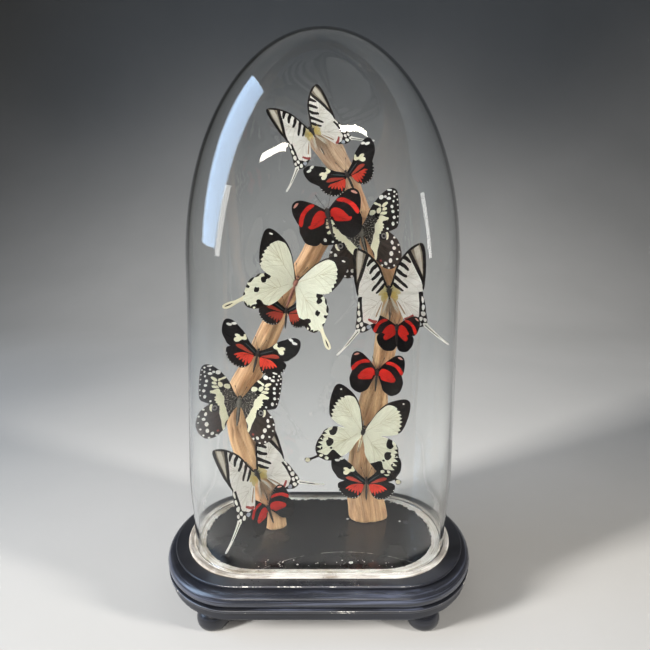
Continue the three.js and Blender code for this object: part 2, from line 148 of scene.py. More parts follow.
def ramp(tree, factor, stops):
    """A colour ramp with stops of (position, grey or colour)."""
    node = add_node(tree, "ShaderNodeValToRGB", {"Fac": factor})
    while len(node.color_ramp.elements) < len(stops):
        node.color_ramp.elements.new(0.5)
    for element, (position, colour) in zip(node.color_ramp.elements, stops):
        element.position = position
        element.color = (*colour, 1) if isinstance(colour, tuple) else (colour, colour, colour, 1)
    return node.outputs["Color"]


def blend_colour(tree, factor, under, over):
    node = add_node(tree, "ShaderNodeMix", data_type="RGBA")
    for socket, value in ((node.inputs[0], factor), (node.inputs[6], under), (node.inputs[7], over)):
        if isinstance(value, bpy.types.NodeSocket):
            tree.links.new(value, socket)
        else:
            socket.default_value = value
    return node.outputs[2]


def add_bump(tree, shader, height, strength, distance):
    bump = add_node(tree, "ShaderNodeBump", {"Height": height, "Strength": strength, "Distance": distance})
    tree.links.new(bump.outputs["Normal"], shader.inputs["Normal"])


def noise_of(tree, vector, scale, detail=4.0, roughness=0.5):
    values = {"Vector": vector, "Scale": scale, "Detail": detail, "Roughness": roughness}
    return add_node(tree, "ShaderNodeTexNoise", values).outputs["Fac"]


def stretched(tree, vector, scale):
    return add_node(tree, "ShaderNodeMapping", {"Vector": vector, "Scale": scale}).outputs["Vector"]


def maths(tree, operation, *values):
    """The result of a maths node on sockets or numbers."""
    return add_node(tree, "ShaderNodeMath", dict(enumerate(values)), operation=operation).outputs[0]


def between(tree, value, low, high, to_low=0.0, to_high=1.0):
    """Where a value lies between two limits, as a number from to_low to to_high."""
    limits = {"Value": value, "From Min": low, "From Max": high, "To Min": to_low, "To Max": to_high}
    return add_node(tree, "ShaderNodeMapRange", limits).outputs[0]


def place_on(tree):
    return add_node(tree, "ShaderNodeTexCoord").outputs["Object"]


def part_of(tree, vector, axis):
    return add_node(tree, "ShaderNodeSeparateXYZ", {0: vector}).outputs[axis]


def stored(tree, name, output="Fac"):
    """What the points of the mesh keep under a name."""
    return add_node(tree, "ShaderNodeAttribute", attribute_name=name).outputs[output]


# A pale floor that sweeps up behind, only to stand the object on. It is painted darker towards
# the front, out of view, as a painted shade, so that it is not mirrored in the glass.
deselect_all()
bpy.ops.mesh.primitive_plane_add(size=1)
floor = bpy.context.object
floor.name = "studio_floor"
bpy.ops.object.mode_set(mode="EDIT")
bpy.ops.transform.resize(value=(9, 5, 1), center_override=(0, 0, 0))
bpy.ops.object.mode_set(mode="OBJECT")
for edge in floor.data.edges:
    edge.select = all(floor.data.vertices[v].co.y > 0 for v in edge.vertices)
for polygon in floor.data.polygons:
    polygon.select = False
for vertex in floor.data.vertices:
    vertex.select = vertex.co.y > 0
bpy.ops.object.mode_set(mode="EDIT")
bpy.ops.mesh.select_mode(type="EDGE")
bpy.ops.mesh.extrude_region_move(TRANSFORM_OT_translate={"value": (0, 0, 4)})
bpy.ops.object.mode_set(mode="OBJECT")
sweep = floor.modifiers.new("sweep", "BEVEL")
sweep.width = 1.2
sweep.segments = 16
bpy.ops.object.modifier_apply(modifier="sweep")
bpy.ops.object.shade_smooth()
paper, tree, shader = new_finish("pale_paper", roughness=0.9)
where = place_on(tree)
tone = ramp(tree, noise_of(tree, where, 3), [(0.3, (0.2, 0.197, 0.19)), (0.7, (0.215, 0.211, 0.204))])
# Painted shade: the floor turns dark towards the front.
painted_shade_in_front = between(tree, part_of(tree, where, "Y"), -0.16, -0.45)
tree.links.new(blend_colour(tree, painted_shade_in_front, tone, (0.07, 0.07, 0.07, 1)), shader.inputs["Base Color"])
floor.data.materials.append(paper)

# ---------------------------------------------------------------- turned and moulded base

# Four bun feet, a stepped oval moulding and a thin rounded board, of soft wood blackened and
# lacquered. The lacquer has brush lines along the mouldings, dust in the hollows, and the pale
# gesso shows where the edges are chipped. Along the half-round the brush lines are painted a
# bluish grey as a painted sheen, and the sharpest edges carry a painted highlight.
OVAL_STEPS = 144


def start_outline(name, half_width, half_depth, z, straight, filled):
    """An oval edge or plate: two half-ellipses, with straight sides of twice `straight` between."""
    deselect_all()
    fill = "NGON" if filled else "NOTHING"
    half_turn = math.pi / OVAL_STEPS
    bpy.ops.mesh.primitive_circle_add(vertices=OVAL_STEPS, radius=1, fill_type=fill,
                                      rotation=(0, 0, half_turn))
    bpy.ops.object.transform_apply(location=True, rotation=True, scale=True)
    outline = bpy.context.object
    outline.name = name
    outline.data.name = name
    for vertex in outline.data.vertices:
        x, y, _ = vertex.co
        vertex.co = (x * (half_width - straight) + math.copysign(straight, x), y * half_depth, z)
    return outline


def extrude_rows(piece, rows):
    """Carries a piece's outline through rows of (half-width, half-depth, height, wear and sheen)."""
    bpy.ops.object.mode_set(mode="EDIT")
    bpy.ops.mesh.select_all(action="SELECT")
    for (wide, deep, low, _), (next_wide, next_deep, high, _) in zip(rows, rows[1:]):
        bpy.ops.mesh.extrude_region_move(TRANSFORM_OT_translate={"value": (0, 0, high - low)})
        bpy.ops.transform.resize(
            value=(next_wide / wide, next_deep / deep, 1), center_override=(0, 0, high))
    bpy.ops.mesh.select_all(action="SELECT")
    bpy.ops.mesh.normals_make_consistent(inside=False)
    bpy.ops.object.mode_set(mode="OBJECT")


def note_wear_and_sheen(piece, rows):
    """Keeps how far each point is worn, for the chips in the lacquer, and where the lacquer has its painted
    sheen and painted edge highlights.
    """
    wear_and_sheen = piece.data.attributes.new("wear_and_sheen", "FLOAT", "POINT")
    for vertex in piece.data.vertices:
        nearest = min(rows, key=lambda row: abs(row[2] - vertex.co.z) + abs(row[1] - abs(vertex.co.y)) * 0.1)
        wear_and_sheen.data[vertex.index].value = nearest[3]


def turned_oval(name, width, depth, section):
    """A solid oval from section rows of (inset, height, wear and sheen) in mm."""
    rows = [((width / 2 - inset) * MM, (depth / 2 - inset) * MM, z * MM, wear_and_sheen) for inset, z, wear_and_sheen in section]
    piece = start_outline(name, rows[0][0], rows[0][1], rows[0][2], rows[0][0] / 2, True)
    extrude_rows(piece, rows)
    note_wear_and_sheen(piece, rows)
    bpy.ops.object.shade_smooth_by_angle(angle=math.radians(38))
    return piece


def new_group(name, inputs, outputs):
    """An empty shader group with its named sockets: (tree, group input, group output)."""
    tree = bpy.data.node_groups.new(name, "ShaderNodeTree")
    for socket_name, socket_type, value in inputs:
        socket = tree.interface.new_socket(socket_name, in_out="INPUT", socket_type=socket_type)
        socket.default_value = value
    for socket_name, socket_type in outputs:
        tree.interface.new_socket(socket_name, in_out="OUTPUT", socket_type=socket_type)
    return tree, add_node(tree, "NodeGroupInput"), add_node(tree, "NodeGroupOutput")


# Chips: along the worn edges the lacquer is missing in small ragged flakes.
chips, given, result = new_group("lacquer_chips", [("Amount", "NodeSocketFloat", 0.5)],
                                 [("Mask", "NodeSocketFloat")])
where = place_on(chips)
patches = maths(chips, "MULTIPLY", noise_of(chips, where, 55, 2), noise_of(chips, where, 520, 5, 0.7))
reach = maths(chips, "MULTIPLY", stored(chips, "wear_and_sheen"), given.outputs["Amount"])
mask = between(chips, maths(chips, "ADD", patches, reach), 0.53, 0.55)
chips.links.new(mask, result.inputs["Mask"])

# Dust: what lies flat is greyer, in soft smudges with a few specks.
dust, given, result = new_group("dust", [("Amount", "NodeSocketFloat", 0.5)], [("Mask", "NodeSocketFloat")])
where = place_on(dust)
normal = add_node(dust, "ShaderNodeNewGeometry").outputs["Normal"]
lies_flat = between(dust, part_of(dust, normal, "Z"), 0.2, 1.0)
smudges = between(dust, noise_of(dust, where, 22, 5, 0.6), 0.35, 0.75)
specks = between(dust, noise_of(dust, where, 900, 2), 0.72, 0.78)
lying = maths(dust, "MULTIPLY", maths(dust, "ADD", smudges, specks), lies_flat)
dust.links.new(maths(dust, "MULTIPLY", lying, given.outputs["Amount"]), result.inputs["Mask"])


def mask_of(tree, group, amount):
    node = tree.nodes.new("ShaderNodeGroup")
    node.node_tree = group
    node.inputs["Amount"].default_value = amount
    return node.outputs["Mask"]


def black_lacquer(name, chip_amount, dust_amount, gloss):
    """Black lacquer over gesso: brush lines, chips and dust, with a bluish painted sheen on the half-round
    and a painted highlight on the sharpest edges.
    """
    material, tree, shader = new_finish(name, specular_ior_level=0.6, coat_roughness=0.22)
    where = place_on(tree)
    brushed = noise_of(tree, stretched(tree, where, (9, 9, 620)), 1, 6, 0.7)
    cloudy = noise_of(tree, where, 14, 4)
    black = ramp(tree, cloudy, [(0.3, (0.0015, 0.0015, 0.002)), (0.75, (0.005, 0.0055, 0.008))])
    edges = stored(tree, "wear_and_sheen")
    # The brush lines on the half-round are painted lighter and bluish: a painted sheen.
    rounded_part = ramp(tree, edges, [(0.03, 0.1), (0.12, 1), (0.25, 0.15)])
    brush_lines = ramp(tree, brushed, [(0.48, 0.05), (0.66, 0.85)])
    painted_sheen_mask = blend_colour(tree, rounded_part, (0, 0, 0, 1), brush_lines)
    black_with_painted_sheen = blend_colour(tree, painted_sheen_mask, black, (0.05, 0.056, 0.08, 1))
    # The sharpest edges are painted light grey: a painted highlight.
    lit_edges = ramp(tree, edges, [(0.6, 0), (0.95, 0.6)])
    edged = blend_colour(tree, lit_edges, black_with_painted_sheen, (0.09, 0.09, 0.1, 1))
    dusty = mask_of(tree, dust, dust_amount)
    chipped = mask_of(tree, chips, chip_amount)
    greyed = blend_colour(tree, dusty, edged, (0.09, 0.088, 0.086, 1))
    colour = blend_colour(tree, chipped, greyed, (0.42, 0.4, 0.36, 1))
    tree.links.new(colour, shader.inputs["Base Color"])
    worn_gloss = ramp(tree, brushed, [(0.3, gloss), (0.7, gloss + 0.3)])
    rough = blend_colour(tree, chipped, worn_gloss, (0.8, 0.8, 0.8, 1))
    tree.links.new(rough, shader.inputs["Roughness"])
    coat = ramp(tree, edges, [(0.03, 0.05), (0.12, 0.5), (0.25, 0.15)])
    tree.links.new(blend_colour(tree, chipped, coat, (0, 0, 0, 1)), shader.inputs["Coat Weight"])
    add_bump(tree, shader, maths(tree, "SUBTRACT", brushed, chipped), 0.5, 0.3 * MM)
    return material


moulding_lacquer = black_lacquer("moulding_lacquer", 0.23, 0.08, 0.2)
board_lacquer = black_lacquer("board_lacquer", 0.25, 0.14, 0.22)

# Bun foot: turned, with a flat underside, a fat belly and a neck let into the moulding.
FOOT_X = 98
FOOT_Y = 70
FOOT_RADIUS = 15.5
FOOT_FLAT = 9.6
FOOT_BELLY = 17.4
foot_rows = [(FOOT_FLAT - 0.8, 0, 0), (FOOT_FLAT, 0.5, 1)]
for step in range(1, 16):
    angle = math.pi * (step / 16 - 0.5)
    belly = FOOT_FLAT + (FOOT_RADIUS - FOOT_FLAT) * math.cos(angle)
    foot_rows.append((belly, FOOT_BELLY / 2 * (1 + math.sin(angle)), 0.3))
foot_rows += [(9.6, 17.6, 0.8), (10, 18.1, 0.8), (10, 21.7, 0)]
rows = [(radius * MM, radius * MM, z * MM, wear_and_sheen) for radius, z, wear_and_sheen in foot_rows]
bun = start_outline("bun_foot", rows[0][0], rows[0][1], 0, 0, True)
extrude_rows(bun, rows)
note_wear_and_sheen(bun, rows)
bpy.ops.object.shade_smooth_by_angle(angle=math.radians(40))
bun.data.materials.append(moulding_lacquer)
for end, y in (("front", -FOOT_Y), ("back", FOOT_Y)):
    for side, x in (("left", -FOOT_X), ("right", FOOT_X)):
        foot = bun.copy()
        foot.data = bun.data.copy()
        foot.name = f"turned_foot_{end}_{side}"
        foot.data.transform(Matrix.Translation((x * MM, y * MM, 0)))
        bpy.context.scene.collection.objects.link(foot)
        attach(foot, "root")
        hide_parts(f"foot_{end}_{side}")
bpy.data.objects.remove(bun)

# Moulding: plinth, thin fillet, big half-round and the hollow under the board.
moulding_section = [
    (8, 22, 0), (3.6, 22, 0.2), (3, 22.6, 0.7), (3, 24, 0), (3, 28.6, 0), (2.8, 29.6, 0.3), (0.8, 30.4, 0.2),
    (0.5, 30.8, 0.9), (0.5, 31.5, 0.4), (0.5, 32.4, 0.9), (0.9, 32.9, 0.2), (4.4, 33.1, 0),
]
ROUND_MIDDLE = 39.5
ROUND_HEIGHT = 6.3
ROUND_REACH = 6.5
# The half-round's rows are marked 0.12, where the lacquer gets its painted sheen.
for step in range(1, 20):
    angle = math.pi * (step / 20 - 0.5)
    inset = ROUND_REACH - ROUND_REACH * math.cos(angle)
    moulding_section.append((inset, ROUND_MIDDLE + ROUND_HEIGHT * math.sin(angle), 0.12))
moulding_section += [(8.6, 45.9, 0.1), (12.4, 46.2, 0), (13.2, 46.6, 0), (12, 47, 0)]
moulding = turned_oval("moulded_base", 310, 197, moulding_section)
moulding.data.materials.append(moulding_lacquer)
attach(moulding, "root")
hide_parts("base_moulding")

# Board: thin, with a rounded and much chipped edge.
board_section = [
    (3, 47.3, 0), (0.7, 47.3, 0.2), (0.25, 47.5, 0.8), (0.05, 47.9, 0.2), (0, 48.3, 0), (0.05, 48.8, 0.3),
    (0.3, 49.25, 1), (0.7, 49.5, 0.8), (1.5, 49.5, 0.2), (3, 49.5, 0), (8, 49.5, 0),
]
board = turned_oval("rounded_board", 295, 178, board_section)
board.data.materials.append(board_lacquer)
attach(board, "root")
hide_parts("top_board")

# ---------------------------------------------------------------- floor board inside the ring

# A thin oval panel, lacquered like the base and dusty, with an old curved scratch near the front.
FLOOR_TOP = 50.9
floor_section = [(0, 49.8, 0), (0, 50.6, 0), (0.3, FLOOR_TOP, 0), (3, FLOOR_TOP, 0)]
inner_floor = turned_oval("lacquered_floor", 234.4, 129.4, floor_section)
floor_lacquer, tree, shader = new_finish("floor_lacquer", specular_ior_level=0.28)
where = place_on(tree)
clouds = noise_of(tree, where, 25, 5)
black = ramp(tree, clouds, [(0.3, (0.005, 0.005, 0.006)), (0.8, (0.016, 0.015, 0.014))])
greyed = blend_colour(tree, mask_of(tree, dust, 0.14), black, (0.16, 0.15, 0.14, 1))
SCRATCH_CENTRE = (26 * MM, -165 * MM, 0)
SCRATCH_RADIUS = 128 * MM
from_centre = add_node(tree, "ShaderNodeVectorMath", {0: where, 1: SCRATCH_CENTRE}, operation="SUBTRACT")
level = {0: from_centre.outputs[0], 1: (1, 1, 0)}
on_floor = add_node(tree, "ShaderNodeVectorMath", level, operation="MULTIPLY")
distance = add_node(tree, "ShaderNodeVectorMath", {0: on_floor.outputs[0]}, operation="LENGTH")
off_line = maths(tree, "ABSOLUTE", maths(tree, "SUBTRACT", distance.outputs["Value"], SCRATCH_RADIUS))
line = between(tree, off_line, 0.45 * MM, 0.15 * MM)
broken = between(tree, noise_of(tree, where, 120, 4), 0.45, 0.6)
colour = blend_colour(tree, maths(tree, "MULTIPLY", line, broken), greyed, (0.3, 0.29, 0.27, 1))
tree.links.new(colour, shader.inputs["Base Color"])
rough = ramp(tree, noise_of(tree, where, 30, 6, 0.65), [(0.3, 0.07), (0.75, 0.2)])
tree.links.new(rough, shader.inputs["Roughness"])
add_bump(tree, shader, noise_of(tree, where, 60, 3), 0.06, 0.2 * MM)
inner_floor.data.materials.append(floor_lacquer)
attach(inner_floor, "root")
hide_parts("floor_board")

# ---------------------------------------------------------------- plaster ring

# A hoop of painted plaster round the floor, with a groove in which the rim of the glass stands.
# It is off-white, hand-smoothed, browned on the left, and has black specks and rubbed edges.
# Outside the groove it is painted darker: some grime, and mostly a painted shade for the stronger
# light outside the glass.
HOOP_INNER_X = 117.5
HOOP_INNER_Y = 65
HOOP_LOW = 49.8
RIM_SHIFT = 1
ring_section = [
    (HOOP_INNER_X, HOOP_INNER_Y, HOOP_LOW, 0), (135, 78, HOOP_LOW, 0), (135, 78, 51, 0),
    (134.2, 77.2, 51.8, 0), (133, 76, 52, 0), (129.45, 73.35, 52, 1), (129.45, 73.35, 50.4, 1),
    (125.55, 69.45, 50.4, 1), (125.55, 69.45, 52, 1), (119.4, 66.9, 52, 0), (118.2, 65.7, 51.8, 0),
    (HOOP_INNER_X, HOOP_INNER_Y, 51.2, 0), (HOOP_INNER_X, HOOP_INNER_Y, HOOP_LOW, 0),
]
ring = start_outline("plaster_hoop", HOOP_INNER_X * MM, HOOP_INNER_Y * MM, HOOP_LOW * MM,
                     HOOP_INNER_X / 2 * MM, False)
bpy.ops.object.mode_set(mode="EDIT")
bpy.ops.mesh.select_all(action="SELECT")
for (wide, deep, low, was_shifted), after in zip(ring_section, ring_section[1:]):
    next_wide, next_deep, high, shifted = after
    slide = (shifted - was_shifted) * RIM_SHIFT * MM
    bpy.ops.mesh.extrude_region_move(TRANSFORM_OT_translate={"value": (slide, 0, (high - low) * MM)})
    bpy.ops.transform.resize(
        value=(next_wide / wide, next_deep / deep, 1), center_override=(shifted * RIM_SHIFT * MM, 0, 0))
bpy.ops.mesh.select_all(action="SELECT")
bpy.ops.mesh.remove_doubles(threshold=0.00002)
bpy.ops.mesh.subdivide(number_cuts=2)
bpy.ops.mesh.normals_make_consistent(inside=False)
bpy.ops.object.mode_set(mode="OBJECT")

# The top is pitted and the outer side is not quite even.
HOOP_UPPER = 0.0515
HOOP_SIDE_X = 0.1325
HOOP_SIDE_Y = 0.0755
for vertex in ring.data.vertices:
    uneven = noise.noise(vertex.co * 90) * 0.35 + noise.noise(vertex.co * 400) * 0.25
    outside = abs(vertex.co.x) > HOOP_SIDE_X or abs(vertex.co.y) > HOOP_SIDE_Y
    if vertex.co.z > HOOP_UPPER:
        vertex.co.z += min(uneven, 0) * 1.1 * MM
    if outside:
        vertex.co.x *= 1 - abs(uneven) * 0.006
        vertex.co.y *= 1 - abs(uneven) * 0.008

# Crumbs of plaster that fell on the floor, two of them large, most along the front.
chance = random.Random(11)
crumbs = [(31, -56, 1.5), (31, 22, 1.1), (-20, -58, 0.7), (88, 18, 0.7)]
crumbs += [(chance.uniform(-62, 70), -chance.uniform(50, 61), chance.uniform(0.2, 0.45)) for _ in range(40)]
deselect_all()
for x, y, size in crumbs:
    bpy.ops.mesh.primitive_ico_sphere_add(subdivisions=2, radius=size * MM, location=(0, 0, 0))
    crumb = bpy.context.object
    for vertex in crumb.data.vertices:
        lumpy = vertex.co * (1 + 0.4 * noise.noise(vertex.co * 900 + Vector((x, y, 0))))
        height = lumpy.z * 0.6 + (FLOOR_TOP + size * 0.7) * MM
        vertex.co = (lumpy.x * 1.5 + x * MM, lumpy.y + y * MM, height)
    crumb.name = "crumb"
    crumb.select_set(False)
for loose in bpy.context.scene.objects:
    loose.select_set(loose.name.startswith("crumb") or loose == ring)
bpy.context.view_layer.objects.active = ring
bpy.ops.object.join()
bpy.ops.object.shade_smooth_by_angle(angle=math.radians(50))

# Each point knows its place round the hoop and across it, from 0 at the inner edge to 1 at the
# outer. The outer edge is wider and deeper by these shares; a crumb counts as near the inner edge.
HOOP_WIDER = 0.149
HOOP_DEEPER = 0.2
CRUMB_ACROSS = 0.3
HALVINGS = 24
spots = np.array([vertex.co for vertex in ring.data.vertices]) / MM
nearer, farther = np.full(len(spots), -1.0), np.full(len(spots), 1.5)
for _ in range(HALVINGS):
    share = (nearer + farther) / 2
    reach = HOOP_INNER_X / 2 * (1 + HOOP_WIDER * share)
    bulge = np.hypot(np.maximum(np.abs(spots[:, 0]) - reach, 0) / reach,
                     spots[:, 1] / (HOOP_INNER_Y * (1 + HOOP_DEEPER * share)))
    nearer, farther = np.where(bulge > 1, share, nearer), np.where(bulge > 1, farther, share)
across = np.where(nearer < -0.02, CRUMB_ACROSS, nearer)
around = np.arctan2(spots[:, 0], -spots[:, 1]) * 0.1
places = np.stack([around, across, spots[:, 2] * MM], 1)
hoop_place = ring.data.attributes.new("hoop_place", "FLOAT_VECTOR", "POINT")
hoop_place.data.foreach_set("vector", places.astype(np.float32).ravel())

plaster, tree, shader = new_finish("painted_plaster", roughness=0.75, specular_ior_level=0.25)
where = place_on(tree)
on_hoop = stored(tree, "hoop_place", "Vector")
strokes = noise_of(tree, stretched(tree, on_hoop, (45, 16, 900)), 1, 6, 0.7)
browned = maths(tree, "MULTIPLY", between(tree, part_of(tree, where, "X"), -0.03, -0.13), 0.12)
stains = maths(tree, "ADD", noise_of(tree, where, 30, 6, 0.65), strokes)
stained = maths(tree, "MULTIPLY_ADD", stains, 0.5, browned)
PLASTER_TONES = [
    (0.42, (0.9, 0.89, 0.85)), (0.52, (0.74, 0.71, 0.65)), (0.6, (0.46, 0.4, 0.32)),
    (0.72, (0.16, 0.13, 0.1)),
]
SHADE_AND_GRIME_TONES = [(0.4, (0.22, 0.215, 0.2)), (0.52, (0.14, 0.13, 0.118)), (0.62, (0.05, 0.043, 0.036))]
paint = ramp(tree, stained, PLASTER_TONES)
shade_and_grime_tone = ramp(tree, stained, SHADE_AND_GRIME_TONES)
# Towards the outer edge the paint is darker: painted shade for the stronger light outside the glass, with
# some grime.
over_width = part_of(tree, on_hoop, "Y")
paint_with_shade_and_grime = blend_colour(tree, ramp(tree, over_width, [(0.55, 0), (0.72, 0.9)]), paint, shade_and_grime_tone)
ragged = maths(tree, "ADD", noise_of(tree, where, 200, 5, 0.7), -0.5)
left_over = maths(tree, "MULTIPLY_ADD", ragged, -0.45, over_width)
bared = ramp(tree, left_over, [(0.02, 1.0), (0.035, 0.0)])
worn_paint = blend_colour(tree, bared, paint_with_shade_and_grime, (0.02, 0.019, 0.018, 1))
specks = between(tree, noise_of(tree, where, 330, 3, 0.6), 0.67, 0.71)
colour = blend_colour(tree, specks, worn_paint, (0.03, 0.028, 0.025, 1))
tree.links.new(colour, shader.inputs["Base Color"])
lumps = maths(tree, "ADD", strokes, noise_of(tree, where, 260, 6, 0.7))
add_bump(tree, shader, lumps, 0.9, 0.5 * MM)
ring.data.materials.clear()
ring.data.materials.append(plaster)
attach(ring, "root")
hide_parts("plaster_ring")

# ---------------------------------------------------------------- glass dome

# One piece of blown glass, 3 mm thick: upright walls that swell a little above the rim, a rounded
# cap, and the slow ripples of old glass.
GLASS_WALL = 3
RIM_Z = 50.7
SHOULDER_Z = 341
CROWN_Z = 558
RIM_HALF = 129
BODY_HALF = 134
DEPTH_SHARE = 0.565
SWELL_HEIGHT = 80
LEAN = 3
WALL_ROWS = 24
CAP_ROWS = 26


def smooth_step(value, low, high):
    share = min(max((value - low) / (high - low), 0), 1)
    return share * share * (3 - 2 * share)


def blown_point(turn_x, turn_y, z):
    """Where a point of the unit circle goes on the dome's outside at a height, in mm."""
    cap = min(max((z - SHOULDER_Z) / (CROWN_Z - SHOULDER_Z), 0), 1)
    wall = RIM_HALF + (BODY_HALF - RIM_HALF) * smooth_step(z, RIM_Z, RIM_Z + SWELL_HEIGHT)
    half = BODY_HALF * math.sqrt(max(1 - cap * cap, 0)) if cap > 0 else wall
    straight = half * 0.5 * (1 - cap)
    lean = RIM_SHIFT + LEAN * smooth_step(z, RIM_Z, SHOULDER_Z - 20)
    x = turn_x * (half - straight) + math.copysign(straight, turn_x) + lean
    return Vector((x, turn_y * half * DEPTH_SHARE, z)) * MM


deselect_all()
bpy.ops.mesh.primitive_cylinder_add(
    vertices=OVAL_STEPS, radius=1, depth=1, end_fill_type="NOTHING", rotation=(0, 0, math.pi / OVAL_STEPS),
    location=(0, 0, 0.5))
bpy.ops.object.transform_apply(location=True, rotation=True, scale=True)
dome = bpy.context.object
dome.name = "blown_dome"
upright = []
for edge in dome.data.edges:
    low, high = (dome.data.vertices[v].co.z for v in edge.vertices)
    upright.append(abs(high - low) > 0.5)
bpy.ops.object.mode_set(mode="EDIT")
bpy.ops.mesh.select_mode(type="EDGE")
bpy.ops.mesh.select_all(action="DESELECT")
bpy.ops.object.mode_set(mode="OBJECT")
for edge, is_upright in zip(dome.data.edges, upright):
    edge.select = is_upright
bpy.ops.object.mode_set(mode="EDIT")
bpy.ops.mesh.subdivide(number_cuts=WALL_ROWS + CAP_ROWS - 1)
bpy.ops.object.mode_set(mode="OBJECT")
for vertex in dome.data.vertices:
    row = round(vertex.co.z * (WALL_ROWS + CAP_ROWS))
    if row <= WALL_ROWS:
        height = RIM_Z + (SHOULDER_Z - RIM_Z) * row / WALL_ROWS
    else:
        height = SHOULDER_Z + (CROWN_Z - SHOULDER_Z) * math.sin((row - WALL_ROWS) / CAP_ROWS * math.pi / 2)
    vertex.co = blown_point(vertex.co.x, vertex.co.y, height)
bpy.ops.object.mode_set(mode="EDIT")
bpy.ops.mesh.select_all(action="SELECT")
bpy.ops.mesh.remove_doubles(threshold=0.00001)
bpy.ops.mesh.normals_make_consistent(inside=False)
bpy.ops.object.mode_set(mode="OBJECT")
wall = dome.modifiers.new("wall", "SOLIDIFY")
wall.thickness = GLASS_WALL * MM
wall.offset = -1
wall.use_even_offset = True
bpy.ops.object.modifier_apply(modifier="wall")
bpy.ops.object.shade_smooth_by_angle(angle=math.radians(50))
old_glass, tree, shader = new_finish(
    "old_glass", base_color=(0.985, 0.995, 0.99, 1), roughness=0.0, ior=1.46, transmission_weight=1.0)
ripples = noise_of(tree, stretched(tree, place_on(tree), (1, 1, 0.35)), 26, 1.5, 0.4)
add_bump(tree, shader, ripples, 0.12, 1.2 * MM)
dome.data.materials.append(old_glass)
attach(dome, "root")
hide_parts("glass_dome")

# ---------------------------------------------------------------- driftwood

# A stripped and bleached branch of three limbs that grew together at the forks. The grain runs
# along each limb in long shallow ridges, and the feet are sawn flat and glued to the floor.
LIMB_FOOT = 51.2
RIGHT_LIMB = [
    (53, 28, 51.2, 20, 15), (51, 27, 68, 19, 14), (48, 26, 94, 17, 13), (51, 24, 141, 14, 12),
    (57, 22, 181, 16, 12), (65, 20, 220, 12, 11), (72, 18, 263, 12, 11), (77, 16, 297, 12, 11),
    (68, 14, 328, 12, 11), (53, 12, 356, 12, 11), (44, 12, 378, 12, 11),
]
LEFT_LIMB = [
    (-47, 10, 51.2, 11, 10), (-49, 9, 66, 11, 10), (-56, 8, 88, 12, 11), (-67, 8, 114, 12, 11),
    (-80, 8, 147, 12, 11), (-85, 8, 175, 12, 11), (-81, 8, 201, 14, 12), (-66, 8, 231, 13, 11),
    (-54, 8, 257, 12, 11), (-40, 8, 288, 11, 10), (-24, 9, 316, 11, 10), (-9, 10, 340, 11, 10),
    (3, 11, 363, 12, 11), (16, 12, 377, 13, 11), (36, 12, 388, 11, 10),
]
TOP_LIMB = [
    (44, 12, 370, 11, 10), (37, 12, 396, 11, 10), (28, 11, 418, 11, 9), (14, 10, 440, 14, 8),
    (4, 9, 457, 16, 8), (-1, 9, 466, 14, 6),
]
LIMB_SIDES = 40
LIMB_STEP = 5


def curve_point(p0, p1, p2, p3, t):
    """The point a share `t` of the way from p1 to p2, on a smooth line through all four."""
    return 0.5 * (2 * p1 + (p2 - p0) * t + (2 * p0 - 5 * p1 + 4 * p2 - p3) * t ** 2
                  + (3 * p1 - p0 - 3 * p2 + p3) * t ** 3)


def through(knots, spacing):
    """Points of a smooth line through the knots, about `spacing` mm apart; all columns are carried."""
    knots = np.array(knots, float)
    ends = np.vstack([2 * knots[0] - knots[1], knots, 2 * knots[-1] - knots[-2]])
    points = []
    for i in range(1, len(ends) - 2):
        cuts = max(2, round(np.linalg.norm((ends[i + 1] - ends[i])[:3]) / spacing))
        points += [curve_point(*ends[i - 1:i + 3], t) for t in np.arange(cuts) / cuts]
    return np.array(points + [knots[-1]])


def limb_frames(knots):
    """Centres, half sizes and the two cross directions along a limb."""
    line = through(knots, LIMB_STEP)
    centres = line[:, :3]
    along = np.gradient(centres, axis=0)
    along /= np.linalg.norm(along, axis=1)[:, None]
    across = np.cross((0, 1, 0), along)
    across /= np.linalg.norm(across, axis=1)[:, None]
    back = np.cross(along, across)
    length = np.concatenate([[0], np.cumsum(np.linalg.norm(np.diff(centres, axis=0), axis=1))])
    return centres, line[:, 3:], across, back, length


def add_limb(name, knots, turns, on_floor):
    """A closed tube of uneven, slowly turning section."""
    centres, halves, across, back, _ = limb_frames(knots)
    mesh = bmesh.new()
    rings = []
    for i, centre in enumerate(centres):
        twist = i / len(centres) * turns * math.pi
        ring = []
        for j in range(LIMB_SIDES):
            angle = j / LIMB_SIDES * 2 * math.pi
            uneven = 1 + 0.07 * math.cos(2 * angle + twist) + 0.05 * math.cos(3 * angle - 1.7 * twist)
            point = centre + across[i] * math.cos(angle) * halves[i][0] * uneven
            point = point + back[i] * math.sin(angle) * halves[i][1] * uneven
            if on_floor and i == 0:
                point[2] = LIMB_FOOT
            ring.append(mesh.verts.new(Vector(point) * MM))
        rings.append(ring)
    for ring, above in zip(rings, rings[1:]):
        for j in range(LIMB_SIDES):
            k = (j + 1) % LIMB_SIDES
            mesh.faces.new((ring[j], ring[k], above[k], above[j]))
    mesh.faces.new(reversed(rings[0]))
    mesh.faces.new(rings[-1])
    bmesh.ops.recalc_face_normals(mesh, faces=mesh.faces)
    data = bpy.data.meshes.new(name)
    mesh.to_mesh(data)
    mesh.free()
    limb = bpy.data.objects.new(name, data)
    bpy.context.scene.collection.objects.link(limb)
    return limb


